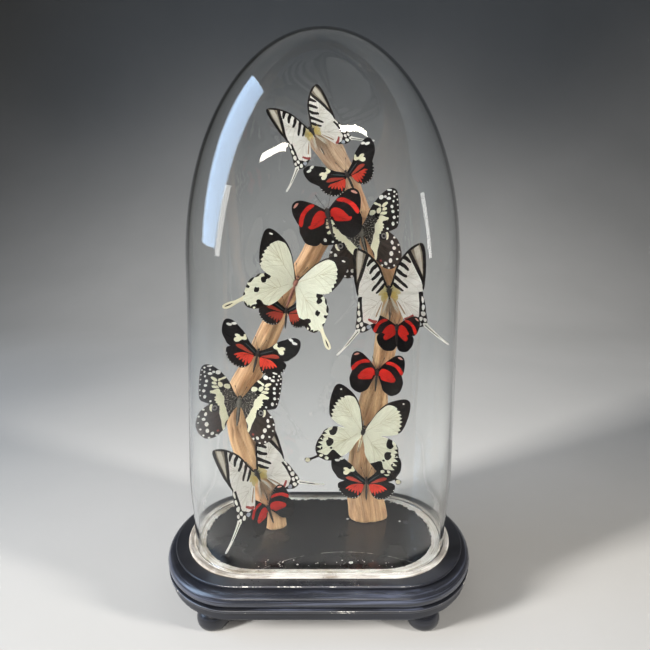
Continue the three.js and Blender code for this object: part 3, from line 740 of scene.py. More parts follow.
deselect_all()
limbs = [
    add_limb("driftwood", RIGHT_LIMB, 2.2, True),
    add_limb("left_limb", LEFT_LIMB, -1.6, True),
    add_limb("top_limb", TOP_LIMB, 1.4, False),
]
for limb in limbs:
    limb.select_set(True)
bpy.context.view_layer.objects.active = limbs[0]
bpy.ops.object.join()
driftwood = bpy.context.object
grown = driftwood.modifiers.new("grown", "REMESH")
grown.mode = "VOXEL"
grown.voxel_size = 1.25 * MM
bpy.ops.object.modifier_apply(modifier="grown")
relaxed = driftwood.modifiers.new("relaxed", "SMOOTH")
relaxed.factor = 0.5
relaxed.iterations = 6
bpy.ops.object.modifier_apply(modifier="relaxed")

# Each point knows where it lies in the grain: its place across the limb, and far less along it.
GRAIN_ALONG = 0.07
LIMBS_APART = 40
points = np.array([vertex.co for vertex in driftwood.data.vertices]) / MM
best = np.full(len(points), 1e9)
grain = np.zeros((len(points), 3))
for number, knots in enumerate((RIGHT_LIMB, LEFT_LIMB, TOP_LIMB)):
    centres, halves, across, back, length = limb_frames(knots)
    for i, centre in enumerate(centres):
        offset = points - centre
        far = np.linalg.norm(offset, axis=1) / halves[i].mean()
        closer = far < best
        best[closer] = far[closer]
        forward = np.cross(across[i], back[i])
        along = (offset @ forward + length[i]) * GRAIN_ALONG + LIMBS_APART * number
        grain[closer] = np.stack([offset @ across[i], offset @ back[i], along], 1)[closer]
attribute = driftwood.data.attributes.new("grain", "FLOAT_VECTOR", "POINT")
attribute.data.foreach_set("vector", (grain * MM).astype(np.float32).ravel())

# Broad waves, finer ridges and cracks run with the grain, all shallower near the sawn feet.
CRACK_WIDTH = 0.07
outward = [vertex.normal.copy() for vertex in driftwood.data.vertices]
carved = []
hollows = []
for place, spot_on_wood, normal in zip(grain, points, outward):
    wide = noise.noise(Vector(place) * 0.16)
    fine = abs(noise.noise(Vector(place) * 0.42))
    crack = max(0, abs(noise.noise(Vector(place) * 0.27 + Vector((7, 3, 1)))) - 0.02)
    depth = 1.9 * wide - 1.2 * fine - 0.9 * max(0, CRACK_WIDTH - crack) / CRACK_WIDTH
    depth *= 0.25 + 0.75 * smooth_step(spot_on_wood[2], 52, 88)
    hollows.append(min(max((-0.15 - depth) / 1.5, 0), 1))
    spot_on_wood = spot_on_wood + np.array(normal) * depth
    carved.append((spot_on_wood[0], spot_on_wood[1], max(spot_on_wood[2], LIMB_FOOT)))
driftwood.data.vertices.foreach_set("co", (np.array(carved, np.float32) * MM).ravel())
driftwood.data.update()
hollow = driftwood.data.attributes.new("hollow", "FLOAT", "POINT")
hollow.data.foreach_set("value", np.array(hollows, np.float32))
bpy.ops.object.shade_smooth()

bare_wood, tree, shader = new_finish("bare_driftwood", specular_ior_level=0.25)
along_grain = stored(tree, "grain", "Vector")
where = place_on(tree)
height = part_of(tree, where, "Z")
fibres = noise_of(tree, along_grain, 900, 6, 0.7)
WOOD_TONES = [
    (0.3, (0.2, 0.09, 0.04)), (0.42, (0.42, 0.22, 0.1)), (0.55, (0.62, 0.37, 0.18)),
    (0.7, (0.86, 0.6, 0.35)),
]
band_tone = ramp(tree, noise_of(tree, along_grain, 170, 4, 0.55), WOOD_TONES)
fibre_tone = ramp(tree, fibres, [(0.32, (0.26, 0.12, 0.05)), (0.68, (0.9, 0.65, 0.4))])
mixed = blend_colour(tree, 0.4, band_tone, fibre_tone)
grey_tone = ramp(tree, fibres, [(0.3, (0.16, 0.12, 0.09)), (0.7, (0.5, 0.42, 0.34))])
weathered = blend_colour(tree, between(tree, height, 0.37, 0.45, 0.0, 0.6), mixed, grey_tone)
reddish = between(tree, noise_of(tree, where, 16, 3), 0.48, 0.7, 0.0, 0.6)
reddened = blend_colour(tree, reddish, weathered, (0.38, 0.15, 0.065, 1))
# The carved hollows are painted dark brown, a painted shade, less so near the sawn feet.
off_the_foot = between(tree, height, 0.06, 0.11, 0.25)
painted_hollow_shade = maths(tree, "MULTIPLY", stored(tree, "hollow"), off_the_foot)
colour = blend_colour(tree, ramp(tree, painted_hollow_shade, [(0, 0), (1, 0.6)]), reddened, (0.12, 0.055, 0.025, 1))
tree.links.new(colour, shader.inputs["Base Color"])
tree.links.new(ramp(tree, fibres, [(0.3, 0.75), (0.7, 0.55)]), shader.inputs["Roughness"])
add_bump(tree, shader, fibres, 0.8, 0.6 * MM)
driftwood.data.materials.append(bare_wood)
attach(driftwood, "root")
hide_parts("driftwood_right_limb", "driftwood_left_limb", "driftwood_top_limb")

# ---------------------------------------------------------------- how a butterfly is put together

# A wing is a thin sheet cut along its markings, so that every patch of coloured scales has its own
# finish and a sharp edge. The outlines and markings are drawn flat, in mm, for the right side, with
# the thorax at the origin and the head towards +Y; the left side mirrors them.
WING_ROOT = (2, 2)
SHEET = 0.16
SHEET_GRID = 2.4


def rounded(points, cuts=3):
    """A closed line through the points with its corners rounded."""
    points = np.array(points, float)
    loop = []
    for i in range(len(points)):
        near = [points[(i + k) % len(points)] for k in (-1, 0, 1, 2)]
        loop += [curve_point(*near, t) for t in np.arange(cuts) / cuts]
    return np.array(loop)


def spot(x, y, wide, high, tilt=0):
    """A small oval patch, turned by `tilt` degrees."""
    turn = math.radians(tilt)
    loop = []
    for i in range(6):
        angle = i / 6 * 2 * math.pi
        a, b = math.cos(angle) * wide / 2, math.sin(angle) * high / 2
        across = x + a * math.cos(turn) - b * math.sin(turn)
        loop.append((across, y + a * math.sin(turn) + b * math.cos(turn)))
    return loop


def ribbon(rows):
    """The outline of a tail from rows of (x, y, width)."""
    rows = np.array(rows, float)
    along = np.gradient(rows[:, :2], axis=0)
    along /= np.linalg.norm(along, axis=1)[:, None]
    side = np.stack([along[:, 1], -along[:, 0]], 1) * rows[:, 2:] / 2
    return np.vstack([rows[:, :2] + side, (rows[:, :2] - side)[::-1]])


def cut_sheet(outline, ground, markings, scallop=0.0):
    """Triangles of a flat wing: points, triples, the finish of each triple, and the patches."""
    edge = rounded(outline)
    if scallop:
        centre = edge.mean(axis=0)
        far = np.linalg.norm(edge, axis=1)
        wave = np.abs(np.sin(np.arctan2(edge[:, 1], edge[:, 0]) * 9)) * scallop * (far > 0.75 * far.max())
        edge = edge + (centre - edge) / np.linalg.norm(centre - edge, axis=1)[:, None] * wave[:, None]
    loops = [edge] + [rounded(shape, 2) for _, shape in markings]
    low, high = edge.min(axis=0), edge.max(axis=0)
    grid = [(x + (row % 2) * SHEET_GRID / 2, y)
            for row, y in enumerate(np.arange(low[1], high[1], SHEET_GRID * 0.87))
            for x in np.arange(low[0], high[0], SHEET_GRID)]
    verts, faces = [], []
    for loop in loops:
        area = np.sum(loop[:, 0] * np.roll(loop[:, 1], -1) - loop[:, 1] * np.roll(loop[:, 0], -1))
        loop = loop if area > 0 else loop[::-1]
        faces.append(list(range(len(verts), len(verts) + len(loop))))
        verts.extend(Vector(point) for point in loop)
    verts.extend(Vector(point) for point in grid)
    points, _, triples, _, _, sources = delaunay_2d_cdt(verts, [], faces, 1, 1e-4, True)
    inside = [(triple, source) for triple, source in zip(triples, sources) if 0 in source]
    finishes = [markings[max(source) - 1][0] if max(source) > 0 else ground for _, source in inside]
    patches = [(finish, np.array(loop)) for (finish, _), loop in zip(markings, loops[1:])]
    return [tuple(point) for point in points], [triple for triple, _ in inside], finishes, ground, patches


def finish_at(sheet, x, y):
    """The finish of the patch that a point of the wing lies in."""
    found = sheet[3]
    for finish, loop in sheet[4]:
        after = np.roll(loop, -1, axis=0)
        crosses = (loop[:, 1] > y) != (after[:, 1] > y)
        rise = np.where(crosses, after[:, 1] - loop[:, 1], 1)
        at_x = loop[:, 0] + (y - loop[:, 1]) * (after[:, 0] - loop[:, 0]) / rise
        if np.count_nonzero(crosses & (x < at_x)) % 2:
            found = finish
    return found


def vein_lines(outline, cell, first, last, count):
    """Veins that fan from the wing's cell to its outer edge, between two points of the outline."""
    margin = np.array(outline[first:last + 1], float)
    steps = np.concatenate([[0], np.cumsum(np.linalg.norm(np.diff(margin, axis=0), axis=1))])
    lines = []
    for i in range(count):
        reach = steps[-1] * i / (count - 1)
        tip = np.array([np.interp(reach, steps, margin[:, 0]), np.interp(reach, steps, margin[:, 1])])
        start = np.array(cell) * (0.62 + 0.38 * math.sin(math.pi * (i + 0.5) / count))
        lines.append([tuple(start), tuple((start + tip) / 2 + 0.04 * (start - tip)[::-1] * (1, -1)),
                      tuple(tip * 0.99)])
    lines.append([(1.5, 1), tuple(np.array(cell) * 0.62), tuple(np.array(cell))])
    return lines


class Specimen:
    """The faces of one butterfly, in its own mm, each with the name of its finish."""

    def __init__(self):
        self.points = []
        self.faces = []
        self.finishes = []

    def add(self, points, faces, finishes):
        start = len(self.points)
        self.points += [tuple(point) for point in points]
        self.faces += [tuple(start + v for v in face) for face in faces]
        self.finishes += finishes

    def add_tube(self, path, radii, sides, finish):
        path = np.array(path, float)
        along = np.gradient(path, axis=0)
        along /= np.linalg.norm(along, axis=1)[:, None]
        helper = np.array((0, 0, 1.0)) if abs(along[0][2]) < 0.9 else np.array((1.0, 0, 0))
        across = np.cross(along, helper)
        across /= np.linalg.norm(across, axis=1)[:, None]
        up = np.cross(across, along)
        points, faces = [], []
        for centre, a, b, radius in zip(path, across, up, radii):
            for j in range(sides):
                angle = j / sides * 2 * math.pi
                points.append(centre + (a * math.cos(angle) + b * math.sin(angle)) * radius)
        for i in range(len(path) - 1):
            for j in range(sides):
                k = (j + 1) % sides
                faces.append((i * sides + j, i * sides + k, (i + 1) * sides + k, (i + 1) * sides + j))
        faces.append(tuple(range(sides)))
        faces.append(tuple(reversed(range((len(path) - 1) * sides, len(path) * sides))))
        if isinstance(finish, str):
            finish = [finish] * (len(path) - 1)
        rows = [name for name in finish for _ in range(sides)]
        self.add(points, faces, rows + [finish[0], finish[-1]])


def camber(x, y, above):
    """How far a wing's sheet stands off its plane: shallow pleats that fan out, and a drooping edge."""
    far = math.hypot(x, y)
    bearing = math.atan2(y, x + 1)
    pleats = (0.42 * math.sin(11 * bearing) + 0.2 * math.sin(23 * bearing + 1)) * min(far / 25, 1)
    return above + pleats - 0.9 * (far / 50) ** 2


def wing_place(x, y, z, spread, lift, side):
    """A flat wing's point in the butterfly's own space."""
    turn, rise = math.radians(spread), math.radians(lift)
    a, b = x - WING_ROOT[0], y - WING_ROOT[1]
    a, b = a * math.cos(turn) - b * math.sin(turn), a * math.sin(turn) + b * math.cos(turn)
    a, z = a * math.cos(rise) - z * math.sin(rise), a * math.sin(rise) + z * math.cos(rise)
    return side * (a + WING_ROOT[0]), b + WING_ROOT[1], z


VEIN_TONES = {
    "cream": "cream_vein", "pale": "pale_vein", "white": "pale_vein", "scarlet": "maroon", "coral": "maroon"}


def lay_wing(specimen, sheet, veins, vein_width, spread, lift, side, above):
    """Adds both faces of a wing and the raised veins on its upper side."""
    points, triples, finishes, _, _ = sheet
    for offset, flip in ((SHEET / 2, side < 0), (-SHEET / 2, side > 0)):
        placed = [wing_place(x, y, camber(x, y, above) + offset, spread, lift, side) for x, y in points]
        faces = [tuple(reversed(triple)) if flip else tuple(triple) for triple in triples]
        specimen.add(placed, faces, finishes)
    rim = {}
    for triple, finish in zip(triples, finishes):
        for a, b in zip(triple, (triple[1], triple[2], triple[0])):
            if (b, a) in rim:
                del rim[(b, a)]
            else:
                rim[(a, b)] = finish
    count = len(points)
    top = len(specimen.points) - 2 * count
    for (a, b), finish in rim.items():
        face = (top + a, top + count + a, top + count + b, top + b)
        specimen.faces.append(face if side > 0 else tuple(reversed(face)))
        specimen.finishes.append(finish)
    for line in veins:
        path = through(line, 2.5)
        lifted = [wing_place(x, y, camber(x, y, above) + SHEET / 2, spread, lift, side) for x, y in path]
        radii = np.linspace(vein_width, vein_width * 0.45, len(lifted))
        crossed = [finish_at(sheet, x, y) for x, y in (path[1:] + path[:-1]) / 2]
        crossed = [VEIN_TONES.get(name, name) for name in crossed]
        specimen.add_tube(lifted, radii, 3, crossed)


def body_form(length, head, radius, thorax_finish, abdomen_finish, stripe_finish):
    """Thorax, ringed abdomen, head, eyes and palps, shaped from balls, as one mesh in mm."""
    eye = (radius * 0.27, radius * 0.33, radius * 0.33)
    belly = (radius * 0.74, length / 2 - 0.6, radius * 0.72)
    balls = [
        ("thorax", (0, 0.6, 0.1), (radius, radius * 1.75, radius * 0.95), thorax_finish),
        ("abdomen", (0, -length / 2 - 0.8, -0.3), belly, abdomen_finish),
        ("head", (0, head - 2.4, 0), (radius * 0.56, radius * 0.52, radius * 0.5), thorax_finish),
        ("eye_left", (-radius * 0.42, head - 2.0, 0.1), eye, "eye"),
        ("eye_right", (radius * 0.42, head - 2.0, 0.1), eye, "eye"),
        ("palps", (0, head - 1.3, -0.5), (radius * 0.2, radius * 0.36, radius * 0.2), thorax_finish),
    ]
    form = Specimen()
    for name, centre, halves, finish in balls:
        deselect_all()
        rings = 26 if name == "abdomen" else 12
        bpy.ops.mesh.primitive_uv_sphere_add(segments=18, ring_count=rings, radius=1)
        ball = bpy.context.object
        bpy.ops.object.mode_set(mode="EDIT")
        bpy.ops.transform.rotate(value=math.pi / 2, orient_axis="X", center_override=(0, 0, 0))
        bpy.ops.object.mode_set(mode="OBJECT")
        points = []
        for vertex in ball.data.vertices:
            x, y, z = vertex.co
            if name == "abdomen":
                girth = (1 + 0.05 * math.cos(y * 26)) * (0.86 + 0.22 * y)
                x, z = x * girth, z * girth - 0.25 * (1 - y) ** 2
            points.append((centre[0] + x * halves[0], centre[1] + y * halves[1], centre[2] + z * halves[2]))
        faces = [tuple(polygon.vertices) for polygon in ball.data.polygons]
        finishes = []
        for polygon in ball.data.polygons:
            striped = name == "abdomen" and stripe_finish and abs(polygon.center.x) > 0.45
            finishes.append(stripe_finish if striped else finish)
        form.add(points, faces, finishes)
        bpy.data.objects.remove(ball)
    return form


FUR_HAIRS = 230
FUR_HALF = 0.09
TUFT_HALF = 0.2
HAIR_FACES = [(0, 1, 3), (1, 2, 3), (2, 0, 3)]


def add_fur(specimen, radius, finish, seed):
    """Short hairs that stand out of the thorax and lie back over the wing roots."""
    chance = random.Random(seed)
    for _ in range(FUR_HAIRS):
        angle = chance.uniform(0, 2 * math.pi)
        along = chance.uniform(-1, 1)
        ring = math.sqrt(1 - along * along)
        out = Vector((ring * math.cos(angle), along, ring * math.sin(angle)))
        base = Vector((out.x * radius, out.y * radius * 1.75 + 0.6, out.z * radius * 0.95)) * 0.95
        tip = base + (out * 0.75 + Vector((0, -0.45, 0))) * chance.uniform(0.5, 1.3)
        side = out.cross((0.3, 0.9, 0.2)).normalized() * FUR_HALF
        lift = out.cross(side).normalized() * FUR_HALF
        specimen.add([base + side, base - side, base + lift, tip], HAIR_FACES, [finish] * 3)


def add_tufts(specimen, tufts, seed):
    """Longer hairs on both sides, from rows of (x, y, bearing, fan, count, reach, finish)."""
    chance = random.Random(seed)
    for x, y, bearing, fan, count, reach, finish in tufts:
        for i in range(count):
            side = 1 if i % 2 else -1
            angle = math.radians(bearing + chance.uniform(-fan, fan))
            length = reach * chance.uniform(0.45, 1)
            base = Vector((side * (x + chance.uniform(-0.8, 0.8)), y + chance.uniform(-2, 2), 1.3))
            out = Vector((side * math.cos(angle), math.sin(angle), 0.3 * abs(math.cos(angle)) + 0.06))
            wide = Vector((out.y, -out.x, 0)).normalized() * TUFT_HALF
            corners = [base + wide, base - wide, base + Vector((0, 0, 0.16)), base + out * length]
            specimen.add(corners, HAIR_FACES, [finish] * 3)


FEELER_REACH = 14
FEELER_SPREAD = 0.42
FEELER_LEVEL = (0.4, 1.2, 1.9, 2.4, 2.5)


def add_limbs(specimen, head, radius, finish):
    """Two clubbed feelers and six thin folded legs."""
    for side in (1, -1):
        path = []
        for i, level in enumerate(FEELER_LEVEL):
            share = i / (len(FEELER_LEVEL) - 1)
            x = side * (0.4 + FEELER_REACH * math.sin(FEELER_SPREAD) * share ** 0.9)
            path.append((x, head - 2 + FEELER_REACH * math.cos(FEELER_SPREAD) * share, level))
        smooth = through(path, 1.2)
        shares = np.linspace(0, 1, len(smooth))
        club = 0.3 * np.clip((shares - 0.82) / 0.1, 0, 1)
        point = 0.2 * np.clip((shares - 0.95) / 0.05, 0, 1)
        specimen.add_tube(smooth, 0.16 + club - point, 5, finish)
        for y, sweep in ((3, 2.6), (0.4, -0.4), (-2, -3.4)):
            knee = (side * radius * 1.15, y + sweep * 0.4, -radius * 0.9)
            leg = through([(side * 0.4, y, -radius * 0.6), knee, (side * radius * 0.9, y + sweep, -5)], 1.2)
            specimen.add_tube(leg, np.linspace(0.32, 0.14, len(leg)), 4, finish)


# The colour of a wing is made of rows of tiny scales, laid in fine streaks that fan out from the
# root and a little uneven from scale to scale.
SCALE_INPUTS = [
    ("Colour", "NodeSocketColor", (1, 1, 1, 1)), ("Streak Colour", "NodeSocketColor", (0, 0, 0, 1)),
    ("Streaks", "NodeSocketFloat", 0.3), ("Speckles", "NodeSocketFloat", 0.0),
]
SCALE_OUTPUTS = [
    ("Colour", "NodeSocketColor"), ("Roughness", "NodeSocketFloat"), ("Height", "NodeSocketFloat")]
scales, given, result = new_group("wing_scales", SCALE_INPUTS, SCALE_OUTPUTS)
flat_place = stored(scales, "wing_place", "Vector")
bearing = maths(scales, "ARCTAN2", part_of(scales, flat_place, "Y"), part_of(scales, flat_place, "X"))
radius_out = add_node(scales, "ShaderNodeVectorMath", {0: flat_place}, operation="LENGTH").outputs["Value"]
fan = add_node(scales, "ShaderNodeCombineXYZ", {"X": bearing, "Y": radius_out}).outputs[0]
streaks = noise_of(scales, stretched(scales, fan, (26, 0.09, 1)), 1, 5, 0.65)
rows = noise_of(scales, stretched(scales, fan, (90, 1.6, 1)), 1, 2, 0.6)
streaky = maths(scales, "MULTIPLY", between(scales, streaks, 0.42, 0.75), given.outputs["Streaks"])
grains = between(scales, noise_of(scales, flat_place, 0.75, 2, 0.6), 0.54, 0.6)
dotted = maths(scales, "MULTIPLY", grains, given.outputs["Speckles"])
amount = maths(scales, "MAXIMUM", streaky, dotted)
toned = blend_colour(scales, amount, given.outputs["Colour"], given.outputs["Streak Colour"])
speckle = between(scales, rows, 0.3, 0.8, 0.9, 1.1)
speckled = add_node(scales, "ShaderNodeVectorMath", {0: toned, 3: speckle}, operation="SCALE").outputs[0]
scales.links.new(speckled, result.inputs["Colour"])
scales.links.new(between(scales, rows, 0.0, 1.0, 0.55, 0.85), result.inputs["Roughness"])
relief = maths(scales, "ADD", maths(scales, "MULTIPLY", streaks, 2.5), rows)
scales.links.new(relief, result.inputs["Height"])


def scaled_finish(name, colour, streak_colour, amount, speckles=0.0):
    """A wing finish: a colour with finer streaks of another, on the scales' own relief."""
    material, tree, shader = new_finish(name, specular_ior_level=0.1)
    node = tree.nodes.new("ShaderNodeGroup")
    node.node_tree = scales
    node.inputs["Colour"].default_value = (*colour, 1)
    node.inputs["Streak Colour"].default_value = (*streak_colour, 1)
    node.inputs["Streaks"].default_value = amount
    node.inputs["Speckles"].default_value = speckles
    tree.links.new(node.outputs["Colour"], shader.inputs["Base Color"])
    tree.links.new(node.outputs["Roughness"], shader.inputs["Roughness"])
    add_bump(tree, shader, node.outputs["Height"], 1.0, 0.4 * MM)
    return material


# For each finish: its name, its colour, the colour of its streaks and how much they cover.
SCALE_TONES = {
    "cream": ("cream_scales", (0.75, 0.75, 0.6), (0.54, 0.52, 0.38), 0.8),
    "cream_vein": ("cream_vein_scales", (0.44, 0.4, 0.25), (0.6, 0.56, 0.4), 0.5),
    "tail_cream": ("tail_scales", (0.74, 0.69, 0.5), (0.55, 0.48, 0.32), 0.4),
    "white": ("white_scales", (0.8, 0.79, 0.73), (0.6, 0.58, 0.5), 0.3),
    "brown_black": ("brown_black_scales", (0.006, 0.0035, 0.0025), (0.024, 0.014, 0.009), 0.6),
    "black": ("black_scales", (0.003, 0.0024, 0.0024), (0.012, 0.0085, 0.0075), 0.6),
    "check_cream": ("spot_scales", (0.78, 0.76, 0.56), (0.64, 0.6, 0.4), 0.3),
    "dusted": ("dusted_scales", (0.014, 0.0105, 0.008), (0.4, 0.37, 0.32), 0.1, 0.85),
    "slate": ("slate_scales", (0.17, 0.155, 0.15), (0.3, 0.28, 0.27), 0.6),
    "bronze": ("bronze_scales", (0.02, 0.013, 0.01), (0.075, 0.052, 0.04), 0.6),
    "pale": ("pale_scales", (0.78, 0.76, 0.71), (0.52, 0.48, 0.42), 0.7),
    "pale_vein": ("pale_vein_scales", (0.3, 0.25, 0.19), (0.5, 0.45, 0.38), 0.5),
    "smoky": ("smoky_scales", (0.19, 0.16, 0.12), (0.34, 0.3, 0.24), 0.7),
    "pale_streak": ("pale_streak_scales", (0.5, 0.46, 0.39), (0.34, 0.3, 0.24), 0.6),
    "olive": ("olive_scales", (0.5, 0.42, 0.2), (0.68, 0.63, 0.44), 0.8),
    "brown": ("brown_scales", (0.3, 0.2, 0.13), (0.5, 0.42, 0.32), 0.7),
    "rose": ("rose_scales", (0.3, 0.055, 0.045), (0.1, 0.02, 0.018), 0.6),
    "blue_grey": ("blue_grey_scales", (0.36, 0.38, 0.43), (0.13, 0.14, 0.17), 0.5),
    "teal": ("teal_scales", (0.02, 0.035, 0.04), (0.12, 0.17, 0.17), 0.6),
    "scarlet": ("scarlet_scales", (0.5, 0.016, 0.009), (0.2, 0.004, 0.003), 0.9),
    "maroon": ("maroon_scales", (0.12, 0.008, 0.006), (0.05, 0.004, 0.004), 0.5),
    "coral": ("coral_scales", (0.56, 0.045, 0.022), (0.26, 0.01, 0.007), 0.9),
    # This darker red is the forewing's dull red streak, and the shaded longwing's rays as painted shade.
    "dusky_red": ("dull_red_and_shaded_coral_scales", (0.3, 0.04, 0.022), (0.1, 0.01, 0.008), 0.8),
    "pink_white": ("pink_white_scales", (0.6, 0.3, 0.24), (0.4, 0.12, 0.1), 0.4),
}
FINISHES = {key: scaled_finish(*tones) for key, tones in SCALE_TONES.items()}


def plain_noise_finish(name, dark, light, scale, roughness, metallic=0.0):
    """Chitin, hair or metal: two tones in fine grain."""
    material, tree, shader = new_finish(name, roughness=roughness, metallic=metallic)
    where = place_on(tree)
    grainy = noise_of(tree, where, scale, 4, 0.7)
    tree.links.new(ramp(tree, grainy, [(0.35, dark), (0.65, light)]), shader.inputs["Base Color"])
    add_bump(tree, shader, grainy, 0.4, 0.1 * MM)
    return material


GRAIN_TONES = {
    "dark_fur": ("dark_fur", (0.006, 0.005, 0.0045), (0.045, 0.034, 0.026), 2600, 0.9),
    "grey_fur": ("grey_fur", (0.035, 0.032, 0.03), (0.26, 0.24, 0.19), 2200, 0.85),
    "pale_fur": ("pale_fur", (0.34, 0.31, 0.25), (0.66, 0.62, 0.52), 2200, 0.85),
    "cream_fur": ("cream_fur", (0.5, 0.46, 0.3), (0.72, 0.68, 0.48), 2200, 0.85),
    "chitin": ("chitin", (0.008, 0.006, 0.005), (0.03, 0.02, 0.014), 1800, 0.4),
    "gold_fur": ("gold_fur", (0.34, 0.24, 0.05), (0.62, 0.48, 0.17), 2200, 0.8),
    "brown_fur": ("brown_fur", (0.1, 0.06, 0.035), (0.34, 0.23, 0.14), 2200, 0.8),
    "russet_fur": ("russet_fur", (0.09, 0.03, 0.02), (0.28, 0.11, 0.075), 2200, 0.8),
    "eye": ("eye_shine", (0.01, 0.006, 0.004), (0.05, 0.03, 0.015), 3000, 0.15),
    "pin": ("pin_steel", (0.3, 0.29, 0.27), (0.45, 0.43, 0.4), 900, 0.35, 1.0),
}
FINISHES.update({key: plain_noise_finish(*tones) for key, tones in GRAIN_TONES.items()})
PIN_RADIUS = 0.45

# ---------------------------------------------------------------- mocker-type swallowtails

# Cream wings with a saw-toothed black-brown border, black blots on the hindwings and a tail that
# widens to a spoon with a black slit. One hangs from the left limb. The other, low on the right
# limb, is darker: its black edge is broad, with cream moons in it.
MOCKER = {
    "fore": [
        (1, 4), (6, 14), (12, 26), (20, 36), (30, 42), (40, 45), (45, 42), (46, 34), (45, 23), (42.5, 13),
        (38, 5), (26, 0), (1, -3)],
    "hind": [
        (1, 0), (26, 2), (34, -2.5), (38, -4), (40.5, -8), (44, -11), (45.4, -17), (45.6, -24),
        (45.4, -29), (43, -34), (38, -39.4), (32, -39.6), (28, -38.4), (19, -32.6), (11, -24), (8, -17),
        (3, -8)],
    "tail": [
        (40, -30, 7), (45, -34.5, 3.8), (49, -38.8, 4), (52.6, -42.4, 5.6), (56.4, -46, 5.6),
        (59, -47.8, 2.6)],
    "fore_ground": "brown_black",
    "hind_ground": "cream",
    "tail_ground": "tail_cream",
    "fore_marks": [
        ("cream", [
            (1, -1), (3.4, 6.5), (8, 16.5), (12.4, 25), (18, 31.8), (22, 35.2), (26, 35.8), (30, 35.6),
            (33.5, 33), (36.8, 29.8), (36.2, 28.3), (38.8, 26.3), (38, 24.6), (40.2, 22.2), (38.8, 20.4),
            (41, 18), (39, 16.2), (41, 13.2), (39, 11.4), (41, 8.6), (39, 7), (38.4, 3), (26, -2),
            (1, -5)]),
        ("white", spot(38.6, 40.2, 4, 1.7, 4)),
    ],
    "hind_marks": [
        ("brown_black", [
            (26, 1.6), (30, 1.8), (33.4, -1), (33.2, -3), (32, -4.6), (34.6, -6.5), (34, -9.4),
            (31.4, -11.2), (28.8, -9.6), (29, -6.6), (26.6, -5), (25.8, -2)]),
        ("brown_black", [(34.6, -1), (39, -2.6), (41.6, -7.6), (40.2, -9), (37.6, -7), (36.6, -4.6)]),
        ("brown_black", [(40.6, -8), (45, -10.6), (46.6, -16), (44.4, -16), (42.6, -15), (41.6, -12)]),
        ("brown_black", [(47, -16.8), (47, -21), (43.4, -21.4), (42, -20.6), (42.2, -18.8), (44, -18.6)]),
        ("brown_black", [(47, -24.8), (46, -31), (44.4, -30), (43.2, -28.4), (44.2, -26.8)]),
        ("brown_black", [
            (31.8, -19.4), (33.2, -16.8), (34.8, -17.8), (36.8, -17.6), (37, -20.6), (35.6, -22.8),
            (34, -22.2), (32.6, -22)]),
        ("brown_black", [
            (15.6, -32.4), (17, -30.6), (22, -31), (25.6, -28.4), (29.4, -28.4), (30.6, -30.8), (29, -33),
            (31.6, -34.8), (33.4, -37), (32.4, -40.4), (27, -41), (22, -36)]),
        ("cream", [(29.4, -36.4), (31.2, -37.2), (30.6, -38.8), (28.8, -38)]),
        ("brown_black", [
            (32.6, -41), (34, -37.4), (36.2, -36.6), (36.4, -38.2), (38.4, -36.4), (41.6, -34.8),
            (40.6, -37), (38, -41)]),
    ],
    "tail_marks": [
        ("brown_black", [(51, -40.6), (54, -42.6), (57.4, -46.2), (56.8, -46.8), (53.8, -44.4)]),
    ],
    "fore_veins": ((24, 20), 5, 10, 7),
    "hind_veins": ((18, -12), 1, 13, 7),
    "vein_width": 0.27,
    "scallop": 0.4,
    "body": (27, 9, 2.4),
    "furs": ("russet_fur", "russet_fur", None),
    "slot": "cream_wing",
}
DARK_MOCKER = dict(MOCKER)
